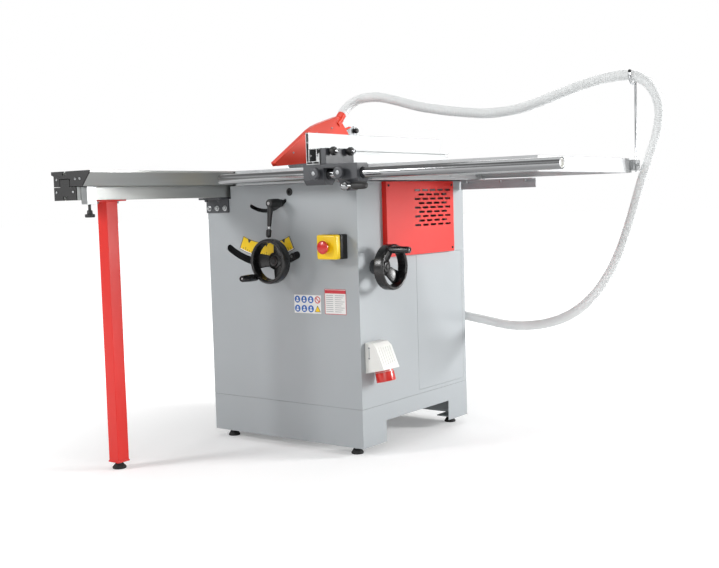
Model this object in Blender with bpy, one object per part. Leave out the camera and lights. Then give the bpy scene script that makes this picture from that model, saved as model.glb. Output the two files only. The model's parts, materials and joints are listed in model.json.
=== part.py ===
"""Panel saw: a cabinet table saw with a sliding table, built as separate pieces.

Units are metres, +Z is up, the operator stands at -Y. Every size is measured from
the machine datum: x = 0 is the plane of the blade, y = 0 is the front sheet of the
cabinet and z = 0 is the floor. The datum empty then moves the whole machine so that
the world origin is at the bottom centre of its outline.
"""
import math

import bmesh
import bpy
from mathutils import Matrix, Vector

# ---- driving dimensions -------------------------------------------------------
GAP = 0.0003               # air left between two pieces that touch
CUT_OVER = 0.01            # how far a cutter runs past the face it opens

TABLE_TOP = 0.855          # height of the cast table above the floor
TABLE_HEIGHT = 0.045       # depth of the cast table's rim
TABLE_SKIN = 0.008         # thickness of the cast table's top
TABLE_RIM = 0.012
TABLE_LEFT = -0.094
TABLE_RIGHT = 0.432
TABLE_FRONT = -0.030
TABLE_REAR = 0.600

CABINET_LEFT = -0.248
CABINET_RIGHT = 0.352
CABINET_DEPTH = 0.590
SHEET = 0.0025             # cabinet sheet thickness
PLINTH_TOP = 0.140         # seam between the plinth and the cabinet
PLINTH_BOTTOM = 0.024
LEDGE_RIGHT = -0.146       # step in the cabinet's upper left corner
LEDGE_TOP = TABLE_TOP - 0.087
NOTCH_FRONT = 0.121        # forklift notch in the plinth's sides
NOTCH_REAR = 0.473
NOTCH_TOP = 0.089
FOOT_INSET_X = 0.048
FOOT_INSET_Y = 0.034
FOOT_RADIUS = 0.019
STUD_RADIUS = 0.005

BLADE_RADIUS = 0.125
BLADE_THICK = 0.0022
BLADE_TEETH = 40
BLADE_HEIGHT = 0.080       # how far the blade stands above the table at the top of its lift
BLADE_Y = 0.225
BORE_RADIUS = 0.015

BASE_LEFT = -0.251         # fixed extrusion under the sliding table
BASE_RIGHT = -0.156
BASE_BOTTOM = TABLE_TOP - 0.080
BASE_TOP = TABLE_TOP - 0.0435
SLIDE_FRONT = -0.592
SLIDE_LENGTH = 1.600
CARRIAGE_LEFT = -0.261
CARRIAGE_RIGHT = -0.098
CARRIAGE_BOTTOM = TABLE_TOP - 0.0422
CAP_THICK = 0.004

RAIL_LEFT = -0.088
RAIL_RIGHT = 1.048
RAIL_Y = -0.100
RAIL_Z = TABLE_TOP - 0.026
RAIL_RADIUS = 0.015
RAIL_WALL = 0.003

EXTENSION_RIGHT = 0.947
EXTENSION_REAR = 0.575
EXTENSION_HEIGHT = 0.042
EXTENSION_WALL = 0.002

LEG_X = -0.190
LEG_Y = -0.458
LEG_SIDE = 0.040
LEG_WALL = 0.002
LEG_FOOT_HEIGHT = 0.020

FENCE_LEFT = 0.276         # guiding face of the rip fence
FENCE_FRONT = -0.130
FENCE_LENGTH = 0.680
FENCE_HEIGHT = 0.090
FENCE_LIFT = 0.0018        # fence above the table
FENCE_PLATE = 0.011
FENCE_BOX = 0.048
FENCE_BOX_HEIGHT = 0.045
CASTING_LEFT = 0.262
CASTING_RIGHT = 0.452
CASTING_FRONT = RAIL_Y - 0.028

HANDWHEEL_RADIUS = 0.0675
RIM_FRONT = 0.049          # front of a handwheel's rim, from the back of its hub
RIM_DEPTH = 0.034
RIM_THICK = 0.013
HEIGHT_SHAFT_X = 0.080     # height handwheel shaft, from the tilt axis
HEIGHT_SHAFT_DROP = 0.276
TILT_SHAFT_Y = 0.075
TILT_SHAFT_DROP = 0.298

HOSE_RADIUS = 0.016
ROD_X = 0.953
ROD_RADIUS = 0.0035

SLOT_LOW_RADIUS = 0.2876   # arc slots in the front sheet, centred on the tilt axis
SLOT_LOW_HALF = 0.0115
SLOT_HIGH_RADIUS = 0.1250
SLOT_HIGH_HALF = 0.0058
LOCK_ANGLE = math.radians(34.5)

VENT_FRONT = 0.125
VENT_REAR = 0.502
VENT_BOTTOM = 0.582
VENT_TOP = 0.8075
VENT_DEPTH = 0.017

# ---- what follows from them ---------------------------------------------------
ARBOR_Z = TABLE_TOP + BLADE_HEIGHT - BLADE_RADIUS
TABLE_BOTTOM = TABLE_TOP - TABLE_HEIGHT
CABINET_TOP = TABLE_BOTTOM - GAP
SLIDE_REAR = SLIDE_FRONT + SLIDE_LENGTH
MIDDLE_X = (CARRIAGE_LEFT + RAIL_RIGHT) / 2
MIDDLE_Y = (SLIDE_FRONT + SLIDE_REAR) / 2

# ---- arbor line, along X, from the left ---------------------------------------
SHAFT_RADIUS = 0.012
FLANGE_RADIUS = 0.025
INNER_FLANGE_RADIUS = 0.030
FLANGE_THICK = 0.0080
NUT_THICK = 0.0075
NUT_RADIUS = 0.014
HOUSING_LEFT = 0.018
HOUSING_RIGHT = 0.112
HOUSING_RADIUS = 0.030
PULLEY_LEFT = 0.114
PULLEY_RIGHT = 0.140
ARBOR_PULLEY_RADIUS = 0.030
MOTOR_PULLEY_RADIUS = 0.042
BELT_THICK = 0.004
MOTOR_Y = 0.300
MOTOR_DROP = 0.115         # motor axis below the arbor
MOTOR_LEFT = 0.1513
MOTOR_LENGTH = 0.185
MOTOR_RADIUS = 0.070
MOTOR_SHAFT_RADIUS = 0.0095

MATERIALS = {
    "grey_paint": ((0.50, 0.53, 0.55), 0.0, 0.45),
    "red_paint": ((0.72, 0.05, 0.04), 0.0, 0.40),
    "pale_paint": ((0.74, 0.75, 0.75), 0.0, 0.45),
    "machined_iron": ((0.42, 0.42, 0.42), 0.9, 0.35),
    "dark_iron": ((0.10, 0.10, 0.10), 0.6, 0.55),
    "steel": ((0.56, 0.57, 0.58), 1.0, 0.30),
    "chrome": ((0.80, 0.80, 0.81), 1.0, 0.12),
    "aluminium": ((0.72, 0.73, 0.73), 1.0, 0.38),
    "black_plastic": ((0.02, 0.02, 0.02), 0.0, 0.45),
    "yellow_plastic": ((0.85, 0.62, 0.03), 0.0, 0.40),
    "red_plastic": ((0.75, 0.03, 0.02), 0.0, 0.30),
    "guard_plastic": ((0.85, 0.13, 0.05), 0.0, 0.35),
    "white_plastic": ((0.85, 0.85, 0.83), 0.0, 0.40),
    "clear_hose": ((0.80, 0.82, 0.82), 0.0, 0.40),
    "rubber": ((0.02, 0.02, 0.02), 0.0, 0.80),
}


# ---- making objects -----------------------------------------------------------
def clear_scene():
    for old in list(bpy.data.objects):
        bpy.data.objects.remove(old, do_unlink=True)


def make_materials():
    for name, (colour, metallic, roughness) in MATERIALS.items():
        material = bpy.data.materials.new(name)
        material.use_nodes = True
        shader = material.node_tree.nodes["Principled BSDF"]
        shader.inputs["Base Color"].default_value = (*colour, 1.0)
        shader.inputs["Metallic"].default_value = metallic
        shader.inputs["Roughness"].default_value = roughness


def make_datum():
    datum = bpy.data.objects.new("datum", None)
    datum.location = (-MIDDLE_X, -MIDDLE_Y, 0.0)
    bpy.context.scene.collection.objects.link(datum)
    return datum


def finish(name, bm, material=None, origin=(0.0, 0.0, 0.0), smooth=True):
    """Turns a bmesh in machine coordinates into an object whose origin is given."""
    bmesh.ops.remove_doubles(bm, verts=bm.verts, dist=1e-6)
    bmesh.ops.recalc_face_normals(bm, faces=bm.faces)
    bmesh.ops.translate(bm, verts=bm.verts, vec=-Vector(origin))
    mesh = bpy.data.meshes.new(name)
    bm.to_mesh(mesh)
    bm.free()
    if smooth:
        mesh.shade_smooth()
        mesh.set_sharp_from_angle(angle=math.radians(35))
    made = bpy.data.objects.new(name, mesh)
    made.location = origin
    made.parent = bpy.data.objects["datum"]
    bpy.context.scene.collection.objects.link(made)
    if material:
        mesh.materials.append(bpy.data.materials[material])
    return made


def hide_tool(tool):
    tool.hide_render = True
    tool.display_type = "WIRE"


def combine(target, tool, operation):
    step = target.modifiers.new(tool.name, "BOOLEAN")
    step.operation = operation
    step.solver = "EXACT"
    step.object = tool
    hide_tool(tool)


def cut(target, *tools):
    for tool in tools:
        combine(target, tool, "DIFFERENCE")


def weld(target, *tools):
    for tool in tools:
        combine(target, tool, "UNION")


# ---- making shapes ------------------------------------------------------------
def add_box(bm, low, high):
    low = Vector(low)
    high = Vector(high)
    size = high - low
    place = Matrix.Translation((low + high) / 2) @ Matrix.Diagonal((*size, 1.0))
    bmesh.ops.create_cube(bm, size=1.0, matrix=place)


def box(low, high):
    bm = bmesh.new()
    add_box(bm, low, high)
    return bm


AXES = {"X": Vector((1, 0, 0)), "Y": Vector((0, 1, 0)), "Z": Vector((0, 0, 1))}


def on_plane(axis, u, v, w):
    """A point from two coordinates in the plane across the axis and one along it."""
    if axis == "X":
        return Vector((w, u, v))
    if axis == "Y":
        return Vector((u, w, v))
    return Vector((u, v, w))


def add_prism(bm, axis, outline, start, end):
    corners = [bm.verts.new(on_plane(axis, u, v, start)) for u, v in outline]
    face = bm.faces.new(corners)
    pulled = bmesh.ops.extrude_face_region(bm, geom=[face])
    moved = [item for item in pulled["geom"] if isinstance(item, bmesh.types.BMVert)]
    bmesh.ops.translate(bm, verts=moved, vec=AXES[axis] * (end - start))


def prism(axis, outline, start, end):
    bm = bmesh.new()
    add_prism(bm, axis, outline, start, end)
    return bm


def add_turned(bm, profile, centre, direction, segments):
    """Spins (radius, distance) points about a line; a closed list makes a ring."""
    line = Vector(direction).normalized()
    side = line.orthogonal().normalized()
    base = Vector(centre)
    closed = profile[0] == profile[-1]
    points = profile[:-1] if closed else profile
    verts = [bm.verts.new(base + side * radius + line * along) for radius, along in points]
    edges = [bm.edges.new(pair) for pair in zip(verts, verts[1:])]
    if closed:
        edges.append(bm.edges.new((verts[-1], verts[0])))
    bmesh.ops.spin(
        bm, geom=verts + edges, cent=base, axis=line, angle=math.tau,
        steps=segments, use_merge=True,
    )


def turned(profile, centre, direction, segments=24):
    bm = bmesh.new()
    add_turned(bm, profile, centre, direction, segments)
    return bm


def rod(radius, centre, direction, length, segments=16):
    return turned([(0, 0), (radius, 0), (radius, length), (0, length)], centre, direction, segments)


def pipe(inner, outer, centre, direction, length, segments=24):
    profile = [(inner, 0), (outer, 0), (outer, length), (inner, length), (inner, 0)]
    return turned(profile, centre, direction, segments)


def arc(centre, radius, first, last, steps):
    """Points round an arc; angles in radians from the first axis of the plane."""
    turns = [first + (last - first) * i / steps for i in range(steps + 1)]
    return [(centre[0] + radius * math.cos(t), centre[1] + radius * math.sin(t)) for t in turns]


def swing(radius, angle):
    """A point hung from the tilt axis, at an angle to the right of straight down."""
    return (radius * math.sin(angle), TABLE_TOP - radius * math.cos(angle))


def sector(inner, outer, first, last, steps):
    """Outline of a ring piece round the tilt axis, angles from straight down."""
    turns = [first + (last - first) * i / steps for i in range(steps + 1)]
    return [swing(outer, t) for t in turns] + [swing(inner, t) for t in reversed(turns)]


def slot_outline(radius, half, first, last, steps):
    """An arc slot with round ends, for a pin that swings round the tilt axis."""
    points = []
    for i in range(steps + 1):
        points.append(swing(radius + half, first + (last - first) * i / steps))
    end = swing(radius, last)
    points += [
        (end[0] + half * math.cos(t), end[1] + half * math.sin(t))
        for t in [last - math.pi / 2 + math.pi * i / 6 for i in range(1, 6)]
    ]
    for i in range(steps + 1):
        points.append(swing(radius - half, last + (first - last) * i / steps))
    end = swing(radius, first)
    points += [
        (end[0] + half * math.cos(t), end[1] + half * math.sin(t))
        for t in [first + math.pi / 2 + math.pi * i / 6 for i in range(1, 6)]
    ]
    return points


def tube_along(name, points, radius, material, rings=3, origin=(0.0, 0.0, 0.0)):
    """A filled tube through points, made as a curve object."""
    curve = bpy.data.curves.new(name, "CURVE")
    curve.dimensions = "3D"
    curve.bevel_depth = radius
    curve.bevel_resolution = rings
    curve.use_fill_caps = True
    spline = curve.splines.new("POLY")
    spline.points.add(len(points) - 1)
    for spot, point in zip(spline.points, points):
        spot.co = (*(Vector(point) - Vector(origin)), 1.0)
    curve.materials.append(bpy.data.materials[material])
    made = bpy.data.objects.new(name, curve)
    made.location = origin
    made.parent = bpy.data.objects["datum"]
    bpy.context.scene.collection.objects.link(made)
    return made


def smooth_route(points, spacing):
    """Even points along a smooth curve through a route's own points."""
    route = [Vector(p) for p in points]
    route = [route[0] * 2 - route[1]] + route + [route[-1] * 2 - route[-2]]
    fine = []
    for a, b, c, d in zip(route, route[1:], route[2:], route[3:]):
        for i in range(20):
            t = i / 20
            fine.append(0.5 * (
                2 * b + (c - a) * t + (2 * a - 5 * b + 4 * c - d) * t ** 2
                + (3 * b - a - 3 * c + d) * t ** 3
            ))
    fine.append(route[-2])
    length = sum((q - p).length for p, q in zip(fine, fine[1:]))
    count = round(length / spacing)
    even = [fine[0]]
    walked = 0.0
    for p, q in zip(fine, fine[1:]):
        step = (q - p).length
        while step > 0 and walked + step >= length / count * len(even) and len(even) < count:
            even.append(p.lerp(q, (length / count * len(even) - walked) / step))
        walked += step
    return even + [fine[-1]]


# ---- cabinet ------------------------------------------------------------------
CABINET_OUTLINE = [
    (CABINET_LEFT, PLINTH_TOP + GAP),
    (CABINET_RIGHT, PLINTH_TOP + GAP),
    (CABINET_RIGHT, CABINET_TOP),
    (LEDGE_RIGHT, CABINET_TOP),
    (LEDGE_RIGHT, LEDGE_TOP),
    (CABINET_LEFT, LEDGE_TOP),
]
PANEL_FRONT = 0.302        # removable panel in the rear half of the right side
PANEL_REAR = 0.571
PANEL_BOTTOM = 0.1525
PANEL_TOP = 0.5805
PORT_X = 0.120
PORT_Z = 0.353
PORT_RADIUS = 0.050
BRANCH_END = PORT_X + PORT_RADIUS + 0.060
ADJUST_HOLE = (0.100, 0.785)


def make_cabinet_shell():
    shell = finish("cabinet_shell", prism("Y", CABINET_OUTLINE, 0.0, CABINET_DEPTH), "grey_paint")
    room = [
        (CABINET_LEFT + SHEET, PLINTH_TOP - CUT_OVER),
        (CABINET_RIGHT - SHEET, PLINTH_TOP - CUT_OVER),
        (CABINET_RIGHT - SHEET, CABINET_TOP + CUT_OVER),
        (LEDGE_RIGHT + SHEET, CABINET_TOP + CUT_OVER),
        (LEDGE_RIGHT + SHEET, LEDGE_TOP - SHEET),
        (CABINET_LEFT + SHEET, LEDGE_TOP - SHEET),
    ]
    cut(shell, finish("cabinet_room", prism("Y", room, SHEET, CABINET_DEPTH - SHEET)))
    low = slot_outline(SLOT_LOW_RADIUS, SLOT_LOW_HALF, math.radians(-33.0), math.radians(25.0), 12)
    high = slot_outline(SLOT_HIGH_RADIUS, SLOT_HIGH_HALF, math.radians(-28.0), math.radians(40.0), 12)
    cut(shell, finish("low_slot", prism("Y", low, -CUT_OVER, CUT_OVER)))
    cut(shell, finish("high_slot", prism("Y", high, -CUT_OVER, CUT_OVER)))
    hole = rod(0.010, (ADJUST_HOLE[0], -CUT_OVER, ADJUST_HOLE[1]), (0, 1, 0), 2 * CUT_OVER, 20)
    cut(shell, finish("adjust_hole", hole))
    side = box(
        (CABINET_RIGHT - CUT_OVER, PANEL_FRONT, PANEL_BOTTOM),
        (CABINET_RIGHT + CUT_OVER, PANEL_REAR, PANEL_TOP),
    )
    add_box(
        side,
        (CABINET_RIGHT - CUT_OVER, VENT_FRONT + 0.03, VENT_BOTTOM + 0.03),
        (CABINET_RIGHT + CUT_OVER, VENT_REAR - 0.03, VENT_TOP - 0.03),
    )
    cut(shell, finish("side_openings", side))
    shaft = (CABINET_RIGHT - CUT_OVER, TILT_SHAFT_Y, TABLE_TOP - TILT_SHAFT_DROP)
    cut(shell, finish("tilt_shaft_hole", rod(0.0125, shaft, (1, 0, 0), 2 * CUT_OVER, 20)))
    port = (PORT_X, CABINET_DEPTH - CUT_OVER, PORT_Z)
    cut(shell, finish("port_hole", rod(PORT_RADIUS - 0.004, port, (0, 1, 0), 2 * CUT_OVER, 28)))


def make_side_panel():
    clear = 0.0005
    panel = finish("side_panel", box(
        (CABINET_RIGHT - SHEET, PANEL_FRONT + clear, PANEL_BOTTOM + clear),
        (CABINET_RIGHT, PANEL_REAR - clear, PANEL_TOP - clear),
    ), "grey_paint", smooth=False)
    lip = 0.010
    weld(panel, finish("side_panel_lip", box(
        (CABINET_RIGHT - SHEET - GAP - 0.0015, PANEL_FRONT - lip, PANEL_BOTTOM - lip),
        (CABINET_RIGHT - SHEET - GAP, PANEL_REAR + lip, PANEL_TOP + lip),
    )))
    weld(panel, finish("side_panel_core", box(
        (CABINET_RIGHT - SHEET - GAP - 0.001, PANEL_FRONT + 0.005, PANEL_BOTTOM + 0.005),
        (CABINET_RIGHT - SHEET + 0.001, PANEL_REAR - 0.005, PANEL_TOP - 0.005),
    )))


def foot_places():
    left = CABINET_LEFT + FOOT_INSET_X
    right = CABINET_RIGHT - FOOT_INSET_X
    rear = CABINET_DEPTH - FOOT_INSET_Y
    return {
        "foot_front_left": (left, FOOT_INSET_Y),
        "foot_front_right": (right, FOOT_INSET_Y),
        "foot_rear_left": (left, rear),
        "foot_rear_right": (right, rear),
    }


def make_plinth():
    wall = 0.003
    plate = 0.004
    plinth = finish("plinth", box(
        (CABINET_LEFT, 0.0, PLINTH_BOTTOM), (CABINET_RIGHT, CABINET_DEPTH, PLINTH_TOP),
    ), "grey_paint", smooth=False)
    room = box(
        (CABINET_LEFT + wall, wall, PLINTH_BOTTOM + plate),
        (CABINET_RIGHT - wall, CABINET_DEPTH - wall, PLINTH_TOP - wall),
    )
    cut(plinth, finish("plinth_room", room))
    corner = 0.075
    cut(plinth, finish("plinth_cross_a", box(
        (CABINET_LEFT + corner, wall, PLINTH_BOTTOM - CUT_OVER),
        (CABINET_RIGHT - corner, CABINET_DEPTH - wall, PLINTH_BOTTOM + 2 * plate),
    )))
    cut(plinth, finish("plinth_cross_b", box(
        (CABINET_LEFT + wall, corner, PLINTH_BOTTOM - CUT_OVER),
        (CABINET_RIGHT - wall, CABINET_DEPTH - corner, PLINTH_BOTTOM + 2 * plate),
    )))
    cut(plinth, finish("plinth_notch", box(
        (CABINET_LEFT - CUT_OVER, NOTCH_FRONT, PLINTH_BOTTOM - 2 * CUT_OVER),
        (CABINET_RIGHT + CUT_OVER, NOTCH_REAR, NOTCH_TOP),
    )))
    for name, (x, y) in foot_places().items():
        hole = rod(STUD_RADIUS + GAP, (x, y, PLINTH_BOTTOM - CUT_OVER), (0, 0, 1), 3 * CUT_OVER, 12)
        cut(plinth, finish(name + "_hole", hole))


def make_feet():
    top = PLINTH_BOTTOM - GAP
    stud_top = PLINTH_BOTTOM + 0.014
    profile = [
        (0, 0), (FOOT_RADIUS, 0), (FOOT_RADIUS, 0.005), (FOOT_RADIUS * 0.68, 0.015),
        (FOOT_RADIUS * 0.68, top), (STUD_RADIUS, top), (STUD_RADIUS, stud_top), (0, stud_top),
    ]
    for name, (x, y) in foot_places().items():
        finish(name, turned(profile, (x, y, 0), (0, 0, 1), 20), "rubber", (x, y, 0))


# ---- tables -------------------------------------------------------------------
INSERT_LEFT = -0.060
INSERT_RIGHT = 0.050
INSERT_FRONT = 0.045
INSERT_REAR = 0.430
INSERT_THICK = 0.0035
LEDGE = 0.010
MITRE_X = 0.200
MITRE_WIDTH = 0.019
MITRE_DEPTH = 0.0065


def make_main_table():
    table = finish("main_table", box(
        (TABLE_LEFT, TABLE_FRONT, TABLE_BOTTOM), (TABLE_RIGHT, TABLE_REAR, TABLE_TOP),
    ), "machined_iron", smooth=False)
    under = TABLE_BOTTOM - CUT_OVER
    roof = TABLE_TOP - TABLE_SKIN
    left = TABLE_LEFT + TABLE_RIM
    right = TABLE_RIGHT - TABLE_RIM
    front = TABLE_FRONT + TABLE_RIM
    rear = CABINET_DEPTH - TABLE_RIM
    pockets = bmesh.new()
    add_box(pockets, (left, front, under), (right, 0.0, roof))
    add_box(pockets, (left, TABLE_RIM, under), (0.092, rear, roof))
    thick = MITRE_WIDTH / 2 + 0.012
    ribbed = [
        (0.104, under), (0.236, under), (0.236, roof), (MITRE_X + thick, roof),
        (MITRE_X + thick, roof - 0.008), (MITRE_X - thick, roof - 0.008),
        (MITRE_X - thick, roof), (0.104, roof),
    ]
    add_prism(pockets, "Y", ribbed, TABLE_RIM, rear)
    add_box(pockets, (0.248, TABLE_RIM, under), (right, rear, roof))
    cut(table, finish("table_pockets", pockets))
    arbor_way = box(
        (0.080, BLADE_Y - 0.075, under), (0.120, BLADE_Y + 0.075, roof - 0.0005),
    )
    cut(table, finish("table_arbor_way", arbor_way))
    opening = box(
        (INSERT_LEFT + LEDGE, INSERT_FRONT + LEDGE, under),
        (INSERT_RIGHT - LEDGE, INSERT_REAR - LEDGE, TABLE_TOP + CUT_OVER),
    )
    cut(table, finish("table_opening", opening))
    seat = box(
        (INSERT_LEFT, INSERT_FRONT, TABLE_TOP - INSERT_THICK - 2 * GAP),
        (INSERT_RIGHT, INSERT_REAR, TABLE_TOP + CUT_OVER),
    )
    cut(table, finish("table_insert_seat", seat))
    groove = box(
        (MITRE_X - MITRE_WIDTH / 2, TABLE_FRONT - CUT_OVER, TABLE_TOP - MITRE_DEPTH),
        (MITRE_X + MITRE_WIDTH / 2, TABLE_REAR + CUT_OVER, TABLE_TOP + CUT_OVER),
    )
    cut(table, finish("table_mitre_groove", groove))


def make_table_insert():
    top = TABLE_TOP - GAP
    insert = finish("table_insert", box(
        (INSERT_LEFT + GAP, INSERT_FRONT + GAP, top - INSERT_THICK),
        (INSERT_RIGHT - GAP, INSERT_REAR - GAP, top),
    ), "steel", smooth=False)
    kerf = box(
        (-0.0090, BLADE_Y - BLADE_RADIUS - 0.006, top - CUT_OVER),
        (0.0040, INSERT_REAR + CUT_OVER, top + CUT_OVER),
    )
    cut(insert, finish("insert_kerf", kerf))


def make_extension_table():
    top = TABLE_TOP - GAP
    table = finish("extension_table", box(
        (TABLE_RIGHT + GAP, TABLE_FRONT, top - EXTENSION_HEIGHT),
        (EXTENSION_RIGHT, EXTENSION_REAR, top),
    ), "pale_paint", smooth=False)
    wall = EXTENSION_WALL
    room = box(
        (TABLE_RIGHT + GAP + wall, TABLE_FRONT + wall, top - EXTENSION_HEIGHT - CUT_OVER),
        (EXTENSION_RIGHT - wall, EXTENSION_REAR - wall, top - wall),
    )
    cut(table, finish("extension_room", room))


def make_extension_support():
    """Angle bar bolted under the rear edges of both tables."""
    top = TABLE_BOTTOM - GAP
    rear = EXTENSION_REAR - 0.003
    outline = [
        (rear - 0.030, top), (rear, top), (rear, top - 0.030), (rear - 0.003, top - 0.030),
        (rear - 0.003, top - 0.003), (rear - 0.030, top - 0.003),
    ]
    bar = prism("X", outline, CABINET_RIGHT + 0.006, TABLE_RIGHT + 0.200)
    finish("extension_support", bar, "grey_paint", smooth=False)


def make_fence_rail():
    inner = RAIL_RADIUS - RAIL_WALL
    rail = finish("fence_rail", pipe(
        inner, RAIL_RADIUS, (RAIL_LEFT, RAIL_Y, RAIL_Z), (1, 0, 0), RAIL_RIGHT - RAIL_LEFT, 32,
    ), "chrome")
    reach = TABLE_FRONT - GAP - (RAIL_Y + RAIL_RADIUS) + 0.0015
    for x in (TABLE_LEFT + 0.06, TABLE_RIGHT - 0.03, EXTENSION_RIGHT - 0.05):
        start = (x, TABLE_FRONT - GAP - reach, RAIL_Z)
        weld(rail, finish(f"rail_stand_off_{x:.2f}", rod(0.008, start, (0, 1, 0), reach, 16)))


# ---- sliding table ------------------------------------------------------------
BASE_MIDDLE = (BASE_LEFT + BASE_RIGHT) / 2
NECK_HALF = 0.020          # guide neck of the base, inside the carriage
NECK_TOP = TABLE_TOP - 0.023


def base_outline():
    groove = 0.005
    lip = 0.003
    wide = 0.009
    deep = 0.011
    return [
        (BASE_LEFT, BASE_BOTTOM), (BASE_MIDDLE - groove, BASE_BOTTOM),
        (BASE_MIDDLE - groove, BASE_BOTTOM + lip), (BASE_MIDDLE - wide, BASE_BOTTOM + lip),
        (BASE_MIDDLE - wide, BASE_BOTTOM + deep), (BASE_MIDDLE + wide, BASE_BOTTOM + deep),
        (BASE_MIDDLE + wide, BASE_BOTTOM + lip), (BASE_MIDDLE + groove, BASE_BOTTOM + lip),
        (BASE_MIDDLE + groove, BASE_BOTTOM), (BASE_RIGHT, BASE_BOTTOM),
        (BASE_RIGHT, BASE_TOP), (BASE_MIDDLE + NECK_HALF, BASE_TOP),
        (BASE_MIDDLE + NECK_HALF, NECK_TOP), (BASE_MIDDLE - NECK_HALF, NECK_TOP),
        (BASE_MIDDLE - NECK_HALF, BASE_TOP), (BASE_LEFT, BASE_TOP),
    ]


def carriage_outline():
    clear = 0.002
    skin = 0.010
    top = TABLE_TOP
    half = NECK_HALF + clear
    groove = 0.005
    wide = 0.009
    return [
        (BASE_LEFT, CARRIAGE_BOTTOM), (BASE_MIDDLE - half, CARRIAGE_BOTTOM),
        (BASE_MIDDLE - half, NECK_TOP + clear), (BASE_MIDDLE + half, NECK_TOP + clear),
        (BASE_MIDDLE + half, CARRIAGE_BOTTOM), (CARRIAGE_RIGHT - 0.032, CARRIAGE_BOTTOM),
        (CARRIAGE_RIGHT - 0.004, top - skin), (CARRIAGE_RIGHT, top - 0.006),
        (CARRIAGE_RIGHT, top), (BASE_MIDDLE + groove, top),
        (BASE_MIDDLE + groove, top - 0.003), (BASE_MIDDLE + wide, top - 0.003),
        (BASE_MIDDLE + wide, top - 0.011), (BASE_MIDDLE - wide, top - 0.011),
        (BASE_MIDDLE - wide, top - 0.003), (BASE_MIDDLE - groove, top - 0.003),
        (BASE_MIDDLE - groove, top), (CARRIAGE_LEFT, top),
        (CARRIAGE_LEFT, top - 0.009), (BASE_LEFT, top - 0.013),
    ]


def make_slide():
    start = SLIDE_FRONT + CAP_THICK + GAP
    end = SLIDE_REAR
    finish("slide_base", prism("Y", base_outline(), start, end), "aluminium", smooth=False)
    finish("slide_carriage", prism("Y", carriage_outline(), start, end), "aluminium", smooth=False)
    cap_end = SLIDE_FRONT + CAP_THICK
    finish("slide_base_cap", prism("Y", base_outline(), SLIDE_FRONT, cap_end), "black_plastic",
           smooth=False)
    finish("slide_carriage_cap", prism("Y", carriage_outline(), SLIDE_FRONT, cap_end),
           "black_plastic", smooth=False)


def make_slide_brackets():
    """Angles that carry the base on the cabinet's front and rear sheets."""
    top = BASE_BOTTOM - GAP
    thick = 0.006
    for name, face, side in (("slide_bracket_front", 0.0, -1), ("slide_bracket_rear", CABINET_DEPTH, 1)):
        near = face + side * GAP
        outline = [
            (near, 0.727), (near, top - thick + GAP), (face - side * 0.060, top - thick + GAP),
            (face - side * 0.060, top), (face + side * 0.040, top),
            (face + side * 0.040, top - thick), (face + side * thick, top - thick),
            (face + side * thick, 0.727),
        ]
        finish(name, prism("X", outline, BASE_LEFT + 0.003, BASE_RIGHT + 0.004), "dark_iron", smooth=False)


def make_support_leg():
    half = LEG_SIDE / 2
    low = LEG_FOOT_HEIGHT + GAP
    top = BASE_BOTTOM - GAP
    leg = finish("support_leg", box(
        (LEG_X - half, LEG_Y - half, low), (LEG_X + half, LEG_Y + half, top),
    ), "red_paint", smooth=False)
    inner = half - LEG_WALL
    plate = 0.004
    cut(leg, finish("leg_room", box(
        (LEG_X - inner, LEG_Y - inner, low + plate), (LEG_X + inner, LEG_Y + inner, top - plate),
    )))
    weld(leg, finish("leg_head_plate", box(
        (LEG_X - 0.030, LEG_Y - 0.045, top - plate), (LEG_X + 0.030, LEG_Y + 0.045, top),
    )))
    weld(leg, finish("leg_heel_plate", box(
        (LEG_X - half - 0.002, LEG_Y - half - 0.002, low),
        (LEG_X + half + 0.002, LEG_Y + half + 0.002, low + plate),
    )))
    hole = rod(STUD_RADIUS + GAP, (LEG_X, LEG_Y, low - CUT_OVER), (0, 0, 1), 2 * CUT_OVER + plate, 12)
    cut(leg, finish("leg_stud_hole", hole))
    profile = [
        (0, 0), (0.0200, 0), (0.0200, 0.006), (0.0130, 0.014), (0.0130, LEG_FOOT_HEIGHT),
        (STUD_RADIUS, LEG_FOOT_HEIGHT), (STUD_RADIUS, LEG_FOOT_HEIGHT + 0.02),
        (0, LEG_FOOT_HEIGHT + 0.02),
    ]
    finish("leg_foot", turned(profile, (LEG_X, LEG_Y, 0), (0, 0, 1), 20), "rubber", (LEG_X, LEG_Y, 0))


LOCK_X = BASE_RIGHT + 0.014
LOCK_Y = -0.560


def make_carriage_lock():
    """Clamp on the side of the base, turned by a knob below it."""
    body = finish("carriage_lock_body", box(
        (BASE_RIGHT + GAP, LOCK_Y - 0.016, BASE_BOTTOM - 0.012),
        (BASE_RIGHT + 0.026, LOCK_Y + 0.016, CARRIAGE_BOTTOM - 0.0015),
    ), "steel", smooth=False)
    below = BASE_BOTTOM - 0.012
    hole = rod(0.0043, (LOCK_X, LOCK_Y, below - CUT_OVER), (0, 0, 1), 0.030, 12)
    cut(body, finish("lock_screw_hole", hole))
    profile = [
        (0, 0), (0.0125, 0), (0.0135, 0.002), (0.0135, 0.009), (0.0115, 0.011), (0.0115, 0.017),
        (0.0070, 0.022), (0.0040, 0.022), (0.0040, 0.048), (0, 0.048),
    ]
    start = (LOCK_X, LOCK_Y, below - 0.036)
    finish("carriage_lock_knob", turned(profile, start, (0, 0, 1), 20), "black_plastic",
           (LOCK_X, LOCK_Y, below))


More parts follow.
